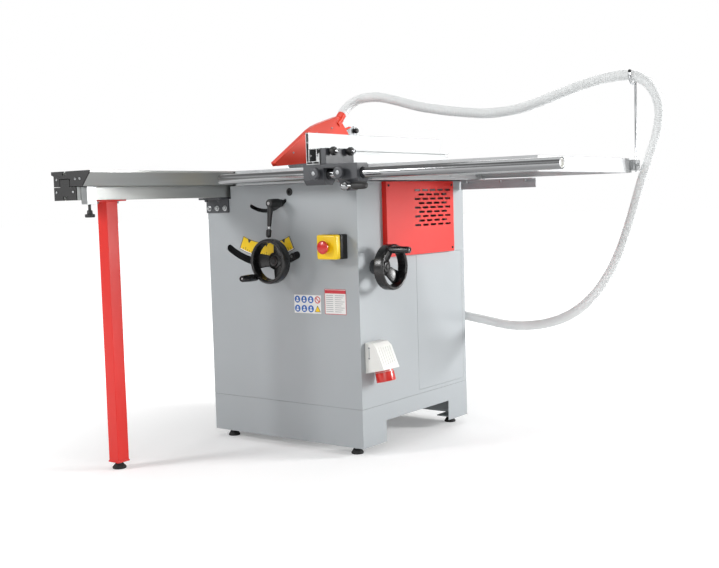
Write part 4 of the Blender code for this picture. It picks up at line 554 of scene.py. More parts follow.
class SAW_OT_hose(bpy.types.Operator):
    """Ribbed suction hose from the guard over the rod to the dust port"""

    bl_idname = "saw.hose"
    bl_label = "Suction hose"

    def execute(self, context):
        sizes = context.scene.saw_sizes
        path, length = smooth_route([at(*p) for p in HOSE_ROUTE], 0.0009)
        frames = frames_along(path)
        outer = sizes.hose_diameter / 2
        inner = outer - sizes.rib_depth
        ribs = round(length / sizes.rib_pitch)
        pitch = length / ribs
        profile = [(outer - 0.004, 0.0), (inner, 0.0)]
        for i in range(ribs):
            for share, radius in ((0.22, inner), (0.40, outer), (0.78, outer), (0.96, inner)):
                profile.append((radius, (i + share) * pitch))
        profile += [(inner, length), (outer - 0.004, length)]
        bm = bmesh.new()
        add_turned(bm, profile, (0, 0, 0), (0, 0, 1), 22)
        bmesh.ops.holes_fill(bm, edges=[e for e in bm.edges if e.is_boundary], sides=0)
        last = len(frames) - 1
        for vert in bm.verts:
            share = max(0.0, min(1.0, vert.co.z / length)) * last
            index = min(int(share), last - 1)
            place, side, across = frames[index]
            ahead = frames[index + 1][0]
            vert.co = place.lerp(ahead, share - index) + side * vert.co.x + across * vert.co.y
        hose = keep_piece("ribbed_hose", bm, ["hose"], None, ("suction_hose",), 70.0)
        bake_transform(hose)
        return {"FINISHED"}


# ---- cabinet ------------------------------------------------------------------
class SAW_OT_cabinet(bpy.types.Operator):
    """Sheet cabinet, side panel, plinth, feet and their screws"""

    bl_idname = "saw.cabinet"
    bl_label = "Cabinet"

    def execute(self, context):
        edge = context.scene.saw_sizes.sheet_edge
        softened("cabinet_shell", "cabinet", edge * 0.8)
        softened("side_panel", "cabinet", 0.0006)
        softened("plinth", "cabinet", edge)
        for node in ("foot_front_left", "foot_front_right", "foot_rear_left", "foot_rear_right"):
            self.foot(node)
        softened("vent_cover", "signal", 0.0005, flatten=False)
        low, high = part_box("vent_cover")
        self.cover_screws(low, high)
        # Painted shade along the joint of plinth and cabinet.
        self.seam()
        self.grommet()
        self.port_screws()
        return {"FINISHED"}

    def foot(self, node):
        """Rubber cup, steel nut and stud of a levelling foot."""
        centre = middle(node)
        base = Vector((centre.x, centre.y, 0.0))
        bm = bmesh.new()
        add_turned(bm, eased([
            (0, 0.0004), (0.0175, 0.0002), (0.0187, 0.0015), (0.0187, 0.0048), (0.0130, 0.0130),
            (0.0125, 0.0150), (0, 0.0150),
        ], 0.0010), base, (0, 0, 1), 40, 0)
        add_turned(bm, [(0, 0.0148), (0.0080, 0.0148), (0.0080, 0.0205), (0, 0.0205)], base,
                   (0, 0, 1), 6, 1)
        add_turned(bm, [(0, 0.020), (0.0050, 0.020), (0.0050, 0.037), (0, 0.037)], base,
                   (0, 0, 1), 24, 1)
        keep_piece(node + "_finished", bm, ["rubber", "zinc"], "machine", (node,), 35.0)

    def cover_screws(self, low, high):
        places = []
        for y in (low.y + 0.012, high.y - 0.012):
            for z in (low.z + 0.012, high.z - 0.012):
                places.append(Vector((high.x, y, z)))
        bolts("cover_screws", places, (1, 0, 0), "machine", 0.008, "black", True)

    def seam(self):
        """Near-black strip of painted shade in the gap where plinth and cabinet meet."""
        bm = bmesh.new()
        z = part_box("plinth")[1].z
        x = (CABINET_LEFT + 0.001, CABINET_RIGHT - 0.001)
        add_block(bm, at(x[0], 0.0010, z - 0.0006), at(x[1], 0.0022, z + 0.0010))
        add_block(bm, at(x[1] - 0.0012, 0.001, z - 0.0006), at(x[1], CABINET_DEPTH - 0.001, z + 0.0010))
        # The near-black finish is painted shade for the gap, not a part of the saw.
        keep_piece("plinth_gap_painted_shade", bm, ["dark"], "machine")

    def grommet(self):
        """Rubber ring in the round hole near the top of the front sheet."""
        bm = bmesh.new()
        add_turned(bm, eased([
            (0.0065, 0), (0.0118, 0), (0.0118, 0.0018), (0.0085, 0.0024), (0.0065, 0.0018),
            (0.0065, 0),
        ], 0.0006), at(0.100, -0.0002, 0.785), (0, -1, 0), 36)
        add_turned(bm, [(0, -0.004), (0.0098, -0.004), (0.0098, -0.003), (0, -0.003)],
                   at(0.100, 0.0, 0.785), (0, -1, 0), 24)
        keep_piece("hole_grommet", bm, ["black"], "machine")

    def port_screws(self):
        """Cover screws round the dust port's flange."""
        port_x = BLADE_X + 0.120
        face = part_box("cabinet_shell")[1].y + 0.0043
        places = []
        for dx in (-0.058, 0.058):
            for dz in (-0.058, 0.058):
                places.append(Vector((port_x + dx, face, PORT_Z + dz)))
        bolts("port_screws", places, (0, 1, 0), "machine", 0.008, "zinc", True)


# ---- tables -------------------------------------------------------------------
class SAW_OT_tables(bpy.types.Operator):
    """Cast table, insert, extension tray, angle bar and rail"""

    bl_idname = "saw.tables"
    bl_label = "Tables and rail"

    def execute(self, context):
        softened("main_table", "table", 0.0012)
        softened("table_insert", "stainless", 0.0004)
        softened("extension_table", "pale", 0.0012)
        softened("extension_support", "cabinet", 0.0006)
        self.insert_screws()
        self.rail()
        self.table_bolts()
        return {"FINISHED"}

    def insert_screws(self):
        low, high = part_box("table_insert")
        bm = bmesh.new()
        for x in (low.x + 0.010, high.x - 0.010):
            for y in (low.y + 0.012, high.y - 0.012):
                add_turned(bm, eased([
                    (0, 0), (0.0040, 0), (0.0038, 0.0003), (0.0016, 0.0003), (0.0016, 0.0001), (0, 0.0001),
                ], 0.0001, 1), (x, y, high.z), (0, 0, 1), 20)
        keep_piece("insert_screws", bm, ["zinc"], "machine")

    def rail(self):
        """Chrome tube with welded stand-offs and an end ring."""
        low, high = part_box("fence_rail")
        radius = (high.z - low.z) / 2
        centre = Vector((low.x, low.y + radius, low.z + radius))
        length = high.x - low.x
        bm = bmesh.new()
        add_turned(bm, eased([
            (radius - 0.003, 0), (radius, 0), (radius, length), (radius - 0.003, length),
            (radius - 0.003, 0),
        ], 0.0006), centre, (1, 0, 0), 72, 0)
        reach = high.y - (centre.y + radius) + 0.0008
        for x in (TABLE_LEFT + 0.06, TABLE_RIGHT - 0.03, EXTENSION_RIGHT - 0.05):
            start = Vector((BLADE_X + x, high.y, centre.z))
            add_turned(bm, eased([
                (0, 0), (0.0125, 0), (0.0125, 0.006), (0.0080, 0.008), (0.0080, reach), (0, reach),
            ], 0.0008), start, (0, -1, 0), 32, 1)
        keep_piece("fence_rail_finished", bm, ["chrome", "zinc"], "machine", ("fence_rail",), 40.0)
        bm = bmesh.new()
        inside = radius - 0.0032
        add_turned(bm, eased([
            (0, 0.0), (inside, 0.0), (inside, 0.006), (inside - 0.002, 0.006),
            (inside - 0.002, 0.0015), (0, 0.0015),
        ], 0.0004), Vector((high.x - 0.0065, centre.y, centre.z)), (1, 0, 0), 40)
        keep_piece("rail_end_plug", bm, ["white"], "machine")

    def table_bolts(self):
        """Bolts in the extension's side flange and under the cast table's rim."""
        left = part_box("extension_table")[0].x
        places = []
        for y in (0.03, 0.20, 0.38, 0.54):
            places.append(Vector((left + 0.0022, FRONT_Y + y, TABLE_TOP - 0.026)))
        bolts("joint_bolts", places, (1, 0, 0), "machine", 0.011)
        low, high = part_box("extension_support")
        places = [Vector((x, (low.y + high.y) / 2 - 0.003, low.z + 0.0268)) for x in
                  (low.x + 0.03, (low.x + high.x) / 2 + 0.02, high.x - 0.03)]
        bolts("bar_bolts", places, (0, 0, -1), "machine", 0.009)


# ---- sliding table ------------------------------------------------------------
class SAW_OT_sliding_table(bpy.types.Operator):
    """Extruded base and carriage with caps, brackets, clamp and leg"""

    bl_idname = "saw.sliding_table"
    bl_label = "Sliding table"

    def execute(self, context):
        softened("slide_base", "anodised", 0.0005)
        softened("slide_carriage", "anodised", 0.0006)
        softened("slide_base_cap", "black", 0.0006)
        softened("slide_carriage_cap", "black", 0.0006)
        self.rear_caps()
        self.cap_screws()
        softened("slide_bracket_front", "casting", 0.0006)
        softened("slide_bracket_rear", "casting", 0.0006)
        self.bracket_bolts()
        softened("support_leg", "signal", 0.0014)
        self.leg_fittings()
        softened("carriage_lock_body", "zinc", 0.0012)
        self.lock_knob()
        self.guide_rods()
        return {"FINISHED"}

    def rear_caps(self):
        """Caps on the rear ends, cut from copies of the front ones."""
        for node, body in (("slide_base_cap", "machine"), ("slide_carriage_cap", "sliding_table")):
            bm = bmesh.new()
            bm.from_mesh(frame["nodes"][node].data)
            bmesh.ops.remove_doubles(bm, verts=bm.verts, dist=1e-5)
            low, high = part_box(node)
            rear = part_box("slide_base")[1].y
            bmesh.ops.translate(bm, verts=bm.verts, vec=(0, rear - high.y + 0.0005, 0))
            thin = [v for v in bm.verts if v.co.y < rear - 0.001]
            bmesh.ops.translate(bm, verts=thin, vec=(0, high.y - low.y + 0.0002, 0))
            front = [v for v in bm.verts if v not in thin]
            bmesh.ops.translate(bm, verts=front, vec=(0, 0.003, 0))
            keep_piece(node + "_rear", bm, ["black"], body)

    def cap_screws(self):
        low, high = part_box("slide_base_cap")
        y = low.y
        places = [Vector((low.x + dx, y, low.z + 0.023)) for dx in (0.012, 0.083)]
        bolts("base_cap_screws", places, (0, -1, 0), "machine", 0.007, "zinc", True)
        low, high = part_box("slide_carriage_cap")
        places = [Vector((low.x + dx, low.y, high.z - 0.022)) for dx in (0.024, 0.104, 0.124)]
        bolts("carriage_cap_screws", places, (0, -1, 0), "sliding_table", 0.007, "zinc", True)

    def bracket_bolts(self):
        """Three bolts through each angle's upright leaf and two under its flat one."""
        for node, way in (("slide_bracket_front", -1), ("slide_bracket_rear", 1)):
            low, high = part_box(node)
            face = FRONT_Y - 0.0063 if way < 0 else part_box("cabinet_shell")[1].y + 0.0063
            z = low.z + 0.014
            places = [Vector((low.x + dx, face, z)) for dx in (0.014, 0.048, 0.082)]
            bolts(node + "_bolts", places, (0, way, 0), "machine", 0.010)
            under = [Vector((low.x + dx, face + way * 0.020, high.z - 0.0058)) for dx in (0.020, 0.076)]
            bolts(node + "_clamps", under, (0, 0, -1), "machine", 0.009, "casting")

    def leg_fittings(self):
        low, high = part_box("support_leg")
        centre = middle("leg_foot")
        places = [Vector((centre.x, y, high.z - 0.0038)) for y in (low.y + 0.010, high.y - 0.010)]
        bolts("leg_bolts", places, (0, 0, -1), "machine", 0.009)
        base = Vector((centre.x, centre.y, 0.0))
        bm = bmesh.new()
        add_turned(bm, eased([
            (0, 0.0004), (0.0188, 0.0002), (0.0199, 0.0016), (0.0199, 0.0056), (0.0128, 0.0130),
            (0.0118, 0.0150), (0, 0.0150),
        ], 0.0010), base, (0, 0, 1), 40, 0)
        add_turned(bm, [(0, 0.0148), (0.0082, 0.0148), (0.0082, 0.0200), (0, 0.0200)], base,
                   (0, 0, 1), 6, 1)
        keep_piece("leg_foot_finished", bm, ["rubber", "zinc"], "machine", ("leg_foot",), 35.0)

    def lock_knob(self):
        """Lobed knob under the clamp."""
        low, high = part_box("carriage_lock_knob")
        centre = Vector(((low.x + high.x) / 2, (low.y + high.y) / 2, low.z))
        bm = bmesh.new()
        add_turned(bm, eased([
            (0, 0), (0.0120, 0), (0.0134, 0.002), (0.0134, 0.0085), (0.0080, 0.0100), (0.0072, 0.0190),
            (0.0040, 0.0205), (0.0040, 0.046), (0, 0.046),
        ], 0.0008), centre, (0, 0, 1), 40)
        for i in range(12):
            turn = math.tau * i / 12
            spot = centre + Vector((0.0128 * math.cos(turn), 0.0128 * math.sin(turn), 0.002))
            add_turned(bm, [(0, 0), (0.0009, 0), (0.0009, 0.007), (0, 0.007)], spot, (0, 0, 1), 8)
        keep_piece("lock_knob_finished", bm, ["black"], "slide_lock", ("carriage_lock_knob",), 40.0)

    def guide_rods(self):
        """Hardened guide wires pressed into the base's neck."""
        bm = bmesh.new()
        base = middle("slide_base")
        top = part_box("slide_base")[1].z
        for side in (-1, 1):
            start = Vector((base.x + side * 0.0204, FRONT_Y + SLIDE_FRONT + 0.006, top - 0.010))
            add_turned(bm, eased([
                (0, 0), (0.0012, 0), (0.0012, SLIDE_REAR - SLIDE_FRONT - 0.008),
                (0, SLIDE_REAR - SLIDE_FRONT - 0.008),
            ], 0.0003), start, (0, 1, 0), 16)
        keep_piece("guide_wires", bm, ["chrome"], "machine")


# ---- rip fence ----------------------------------------------------------------
class SAW_OT_fence(bpy.types.Operator):
    """Casting, bracket, extrusion, knobs and lever of the rip fence"""

    bl_idname = "saw.fence"
    bl_label = "Rip fence"

    def execute(self, context):
        softened("fence_profile", "satin", 0.0004)
        softened("fence_bracket", "casting", 0.0014)
        softened("fence_casting", "casting", 0.0010)
        self.front_knobs()
        self.clamp_knobs()
        self.lever()
        self.profile_grooves()
        return {"FINISHED"}

    def front_knobs(self):
        """Knurled discs with a turned steel button."""
        for node, body in (("fence_adjust_knob", "fence_adjuster"), ("fence_drag_knob", "fence_drag")):
            low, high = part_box(node)
            centre = Vector(((low.x + high.x) / 2, low.y, (low.z + high.z) / 2))
            bm = bmesh.new()
            add_turned(bm, eased([
                (0, 0.001), (0.0125, 0.001), (0.0150, 0.0016), (0.0162, 0.003), (0.0162, 0.011),
                (0.0150, 0.0123), (0.0060, 0.0123), (0.0060, 0.0230), (0, 0.0230),
            ], 0.0006), centre, (0, 1, 0), 64, 0)
            for i in range(40):
                turn = math.tau * i / 40
                spot = centre + Vector((0.0161 * math.cos(turn), 0.0036, 0.0161 * math.sin(turn)))
                add_turned(bm, [(0, 0), (0.0006, 0), (0.0006, 0.007), (0, 0.007)], spot, (0, 1, 0), 6, 0)
            add_turned(bm, eased([(0, 0.0), (0.0052, 0.0), (0.0060, 0.0008), (0.0060, 0.002), (0, 0.002)],
                                 0.0004), centre, (0, 1, 0), 32, 1)
            keep_piece(node + "_finished", bm, ["casting", "turned"], body, (node,), 40.0)

    def clamp_knobs(self):
        """Black fluted knobs with bright screw ends, pointing to the right."""
        for node, body in (("fence_clamp_knob_front", "fence_front_clamp"),
                           ("fence_clamp_knob_rear", "fence_rear_clamp")):
            low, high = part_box(node)
            centre = Vector((low.x, (low.y + high.y) / 2, (low.z + high.z) / 2))
            bm = bmesh.new()
            add_turned(bm, [(0, 0), (0.0035, 0), (0.0035, 0.026), (0, 0.026)], centre, (1, 0, 0), 20, 1)
            add_turned(bm, eased([
                (0, 0.0257), (0.0070, 0.0257), (0.0070, 0.0315), (0.0118, 0.0335), (0.0122, 0.0360),
                (0.0122, 0.0430), (0.0098, 0.0462), (0, 0.0462),
            ], 0.0008), centre, (1, 0, 0), 40, 0)
            for i in range(8):
                turn = math.tau * i / 8
                spot = centre + Vector((0.0345, 0.0112 * math.cos(turn), 0.0112 * math.sin(turn)))
                add_turned(bm, eased([(0, 0), (0.0012, 0.0), (0.0012, 0.0095), (0, 0.0095)], 0.0004),
                           spot, (1, 0, 0), 12, 0)
            add_turned(bm, eased([
                (0, 0.0455), (0.0062, 0.0455), (0.0064, 0.0530), (0.0048, 0.0542), (0, 0.0542),
            ], 0.0006), centre, (1, 0, 0), 32, 1)
            keep_piece(node + "_finished", bm, ["black", "chrome"], body, (node,), 40.0)

    def lever(self):
        """Chrome hub ball, pivot and black grip."""
        low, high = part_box("fence_lock_lever")
        hub = Vector((low.x + 0.0120, low.y, (low.z + high.z) / 2))
        bm = bmesh.new()
        ball = [(0.0120 * math.sin(math.pi * i / 16), 0.0122 - 0.0120 * math.cos(math.pi * i / 16))
                for i in range(15)]
        add_turned(bm, ball + [(0.0070, 0.0245), (0.0070, 0.0495), (0, 0.0495)], hub, (0, 1, 0), 40, 0)
        start = hub + Vector((0.006, 0.0125, 0))
        add_turned(bm, eased([
            (0, 0), (0.0043, 0), (0.0043, 0.020), (0, 0.020)], 0.0004), start, (1, 0, 0), 24, 0)
        add_turned(bm, eased([
            (0, 0.0195), (0.0082, 0.0205), (0.0102, 0.029), (0.0104, 0.045), (0.0098, 0.062),
            (0.0078, 0.0692), (0, 0.0698),
        ], 0.0020), start, (1, 0, 0), 36, 1)
        keep_piece("fence_lock_lever_finished", bm, ["chrome", "black"], "fence_lever",
                   ("fence_lock_lever",), 40.0)

    def profile_grooves(self):
        """Fine guide lines that the extrusion die leaves along the faces."""
        low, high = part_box("fence_profile")
        bm = bmesh.new()
        for z in (low.z + 0.058, low.z + 0.066, low.z + 0.074, low.z + 0.082):
            add_block(bm, (low.x + 0.0105, low.y + 0.0005, z), (low.x + 0.0113, high.y - 0.0005, z + 0.0010))
        keep_piece("fence_face_lines", bm, ["satin"], "fence_face")
        places = [Vector((low.x + 0.0182 + dx, low.y, low.z + 0.024)) for dx in (0.0, 0.022)]
        bolts("fence_end_screws", places, (0, -1, 0), "fence_face", 0.006, "zinc", True)


# ---- electrics and signs ------------------------------------------------------
class SAW_OT_electrics(bpy.types.Operator):
    """Stop switch, supply inlet and sign plates"""

    bl_idname = "saw.electrics"
    bl_label = "Switch, inlet and signs"

    def execute(self, context):
        self.stop_switch()
        self.stop_button()
        self.inlet()
        self.sign_plates()
        return {"FINISHED"}

    def stop_switch(self):
        low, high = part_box("stop_box")
        bm = bmesh.new()
        add_block(bm, low, high, 0.0030, 4)
        keep_piece("stop_box_finished", bm, ["black"], "machine", ("stop_box",), 50.0)
        low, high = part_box("stop_lid")
        button = middle("stop_button")
        face = low.y
        bm = bmesh.new()
        add_block(bm, (low.x, low.y + 0.0012, low.z), high, 0.0062, 5, 0)
        add_turned(bm, eased([
            (0.0093, -0.0006), (0.0200, -0.0006), (0.0200, 0.0012), (0.0215, 0.0025), (0.0093, 0.0025),
            (0.0093, -0.0006),
        ], 0.0005), Vector((button.x, face + 0.0006, button.z)), (0, 1, 0), 56, 0)
        keep_piece("stop_lid_finished", bm, ["scale"], "machine", ("stop_lid",), 50.0)

    def stop_button(self):
        low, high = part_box("stop_button")
        centre = Vector(((low.x + high.x) / 2, low.y, (low.z + high.z) / 2))
        bm = bmesh.new()
        dome = [(0.0188 * math.sin(t), 0.0046 - 0.0046 * math.cos(t)) for t in
                [math.pi / 2 * i / 8 for i in range(9)]]
        add_turned(bm, dome + eased([
            (0.0193, 0.0058), (0.0193, 0.0086), (0.0150, 0.0110), (0.0083, 0.0130), (0.0083, 0.0298),
            (0, 0.0298),
        ], 0.0006), centre, (0, 1, 0), 64, 0)
        keep_piece("stop_button_finished", bm, ["button"], "emergency_stop", ("stop_button",), 40.0)

    def inlet(self):
        """White housing with ribbed front, gasket line, screws and red mouth."""
        softened("power_inlet", "white", 0.0012)
        low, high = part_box("power_inlet")
        wall = low.x
        front = low.y
        rear = high.y
        lean = math.atan2(0.0145, 0.067)
        down = Vector((math.sin(lean), 0.0, -math.cos(lean)))
        along = Vector((math.cos(lean), 0.0, math.sin(lean)))
        mouth = Vector((wall, (front + rear) / 2, 0.246)) + along * 0.0395
        bm = bmesh.new()
        add_turned(bm, eased([
            (0.0238, 0.004), (0.0273, 0.0004), (0.0274, 0.006), (0.0283, 0.007), (0.0292, 0.0338),
            (0.0250, 0.0338), (0.0238, 0.004),
        ], 0.0007), mouth, down, 64, 0)
        for i in range(5):
            turn = math.tau * i / 5
            side = along * math.cos(turn) + Vector((0, 1, 0)) * math.sin(turn)
            add_turned(bm, eased([(0, 0.004), (0.0026, 0.004), (0.0026, 0.024), (0, 0.024)], 0.0005),
                       mouth + side * 0.0150, down, 16, 1)
        keep_piece("inlet_mouth_ring", bm, ["button", "turned"], "machine")
        bm = bmesh.new()
        add_block(bm, (wall + 0.0004, front - 0.0012, 0.2470), (wall + 0.0070, rear + 0.0012, 0.3372),
                  0.0015, 2, 0)
        for i in range(6):
            y = front + 0.012 + i * (rear - front - 0.024) / 5
            add_plate(bm, [
                (0, 0, 0), (0, 0.0030, 0), (-0.0200, 0.0030, 0.0500), (-0.0200, 0, 0.0500),
            ], (wall + 0.0602, y - 0.0015, 0.2735), (0.0014, 0, 0.0006), 0)
        keep_piece("inlet_ribs", bm, ["white"], "machine")
        bm = bmesh.new()
        for z in (0.292, 0.322):
            add_turned(bm, eased([(0, 0), (0.0030, 0), (0.0030, 0.0006), (0, 0.0006)], 0.0002),
                       (wall + 0.0150, front - 0.0002, z), (0, -1, 0), 20)
        add_block(bm, (wall + 0.0138, front - 0.0004, 0.296), (wall + 0.0162, front + 0.0004, 0.318), 0.0002)
        keep_piece("inlet_side_clips", bm, ["ink_grey"], "machine")

    def sign_plates(self):
        """Two film signs with plain generic marks."""
        left, right, low, high = 0.1050, 0.2090, 0.4185, 0.4740
        y = -0.0009
        bm = bmesh.new()
        add_block(bm, at(left, y, low), at(right, -0.0002, high), 0.0, 1, 0)
        cell = (right - left) / 4
        disc = 0.0108
        for row in range(2):
            for column in range(4):
                x = left + cell * (column + 0.5)
                z = high - (high - low) / 4 - row * (high - low) / 2
                if column == 3 and row == 1:
                    add_plate(bm, [(-0.0115, 0, -0.009), (0.0115, 0, -0.009), (0, 0, 0.0110)],
                              at(x, y, z), (0, -0.0003, 0), 4)
                    add_plate(bm, [(-0.0090, 0, -0.0075), (0.0090, 0, -0.0075), (0, 0, 0.0082)],
                              at(x, y - 0.0003, z), (0, -0.0002, 0), 2)
                    continue
                if column == 3:
                    add_turned(bm, [(disc * 0.74, 0), (disc, 0), (disc, 0.0003), (disc * 0.74, 0.0003),
                                    (disc * 0.74, 0)], at(x, y, z), (0, -1, 0), 28, 3)
                    slash = 0.0076
                    add_plate(bm, [(-slash, 0, slash - 0.002), (-slash + 0.002, 0, slash),
                                   (slash, 0, -slash + 0.002), (slash - 0.002, 0, -slash)],
                              at(x, y, z), (0, -0.0003, 0), 3)
                    continue
                add_turned(bm, [(0, 0), (disc, 0), (disc, 0.0003), (0, 0.0003)], at(x, y, z),
                           (0, -1, 0), 28, 1)
                add_turned(bm, [(0, 0), (0.0032, 0), (0.0032, 0.0002), (0, 0.0002)],
                           at(x, y - 0.0003, z + 0.0034), (0, -1, 0), 16, 0)
                add_block(bm, at(x - 0.0046, y - 0.0005, z - 0.0064), at(x + 0.0046, y - 0.0003, z - 0.0012),
                          0.0, 1, 0)
        keep_piece("sign_duties", bm, ["paper", "ink_blue", "scale", "ink_red", "ink_black"], "machine")
        left, right, low, high = 0.2240, 0.3040, 0.4190, 0.4940
        bm = bmesh.new()
        add_block(bm, at(left, y, low), at(right, -0.0002, high), 0.0, 1, 0)
        rim = 0.0016
        for x0, x1, z0, z1 in ((left, right, high - 0.013, high - 0.003), (left, left + rim, low, high),
                               (right - rim, right, low, high), (left, right, low, low + rim),
                               (left, right, high - rim, high)):
            add_block(bm, at(x0, y - 0.0002, z0), at(x1, y, z1), 0.0, 1, 1)
        for i in range(9):
            z = high - 0.0180 - i * 0.0060
            add_block(bm, at(left + 0.005, y - 0.0002, z - 0.0014), at(left + 0.032, y, z), 0.0, 1, 2)
            add_block(bm, at(left + 0.038, y - 0.0002, z - 0.0014), at(right - 0.006 - 0.006 * (i % 3), y, z),
                      0.0, 1, 2)
        keep_piece("sign_rating", bm, ["paper", "ink_red", "ink_grey"], "machine")


# ---- dust port and hose rod ---------------------------------------------------
class SAW_OT_dust_fittings(bpy.types.Operator):
    """Port on the rear sheet, hose rod and clamp"""

    bl_idname = "saw.dust_fittings"
    bl_label = "Dust port and hose rod"

    def execute(self, context):
        softened("dust_port", "black", 0.0008)
        softened("rod_clamp", "zinc", 0.0010)
        self.duct_beads()
        self.rod()
        return {"FINISHED"}

    def duct_beads(self):
        """Raised beads that hold a hose clip."""
        bm = bmesh.new()
        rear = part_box("dust_port")[1].y
        for back in (0.008, 0.030):
            add_turned(bm, eased([
                (0.0495, 0), (0.0508, 0.0008), (0.0508, 0.0026), (0.0495, 0.0034), (0.0495, 0),
            ], 0.0004), at(0.120, rear - FRONT_Y - back, PORT_Z), (0, 1, 0), 64)
        keep_piece("duct_beads", bm, ["black"], "machine")

    def rod(self):
        """Steel rod with a cradle and a ball end."""
        low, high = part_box("hose_rod")
        radius = 0.0034
        x = (low.x + high.x) / 2
        rear = high.y - radius
        front = low.y + radius
        reach = (rear - front) / 2
        centre_y = (rear + front) / 2
        centre_z = at(*HOSE_ROUTE[15]).z - 0.003
        points = [(x, rear, low.z + 0.001), (x, rear, centre_z)]
        points += [(x, centre_y + reach * math.cos(t), centre_z + reach * math.sin(t))
                   for t in [-math.pi * i / 24 for i in range(25)]]
        points.append((x, front, high.z - 0.006))
        rod_curve("hose_rod_finished", points, radius, "stainless", "machine", ("hose_rod",))
        bm = bmesh.new()
        bmesh.ops.create_uvsphere(bm, u_segments=24, v_segments=14, radius=0.0052,
                                  matrix=Matrix.Translation((x, front, high.z - 0.004)))
        keep_piece("hose_rod_ball", bm, ["black"], "machine")
        clamp_low, clamp_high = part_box("rod_clamp")
        bolts("clamp_screw", [Vector((clamp_high.x, (clamp_low.y + clamp_high.y) / 2 - 0.006,
                                      (clamp_low.z + clamp_high.z) / 2))], (1, 0, 0), "machine", 0.009)


# ---- tilt scale, handwheels and lock lever ------------------------------------
def middle_of_axle(node):
    """The axle of a wheel, from the joint that turns its body."""
    body = frame["nodes"][node]["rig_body"]
    joint = next(j for j in frame["joints"] if j["child"] == body)
    return Vector(joint["pos_m"])


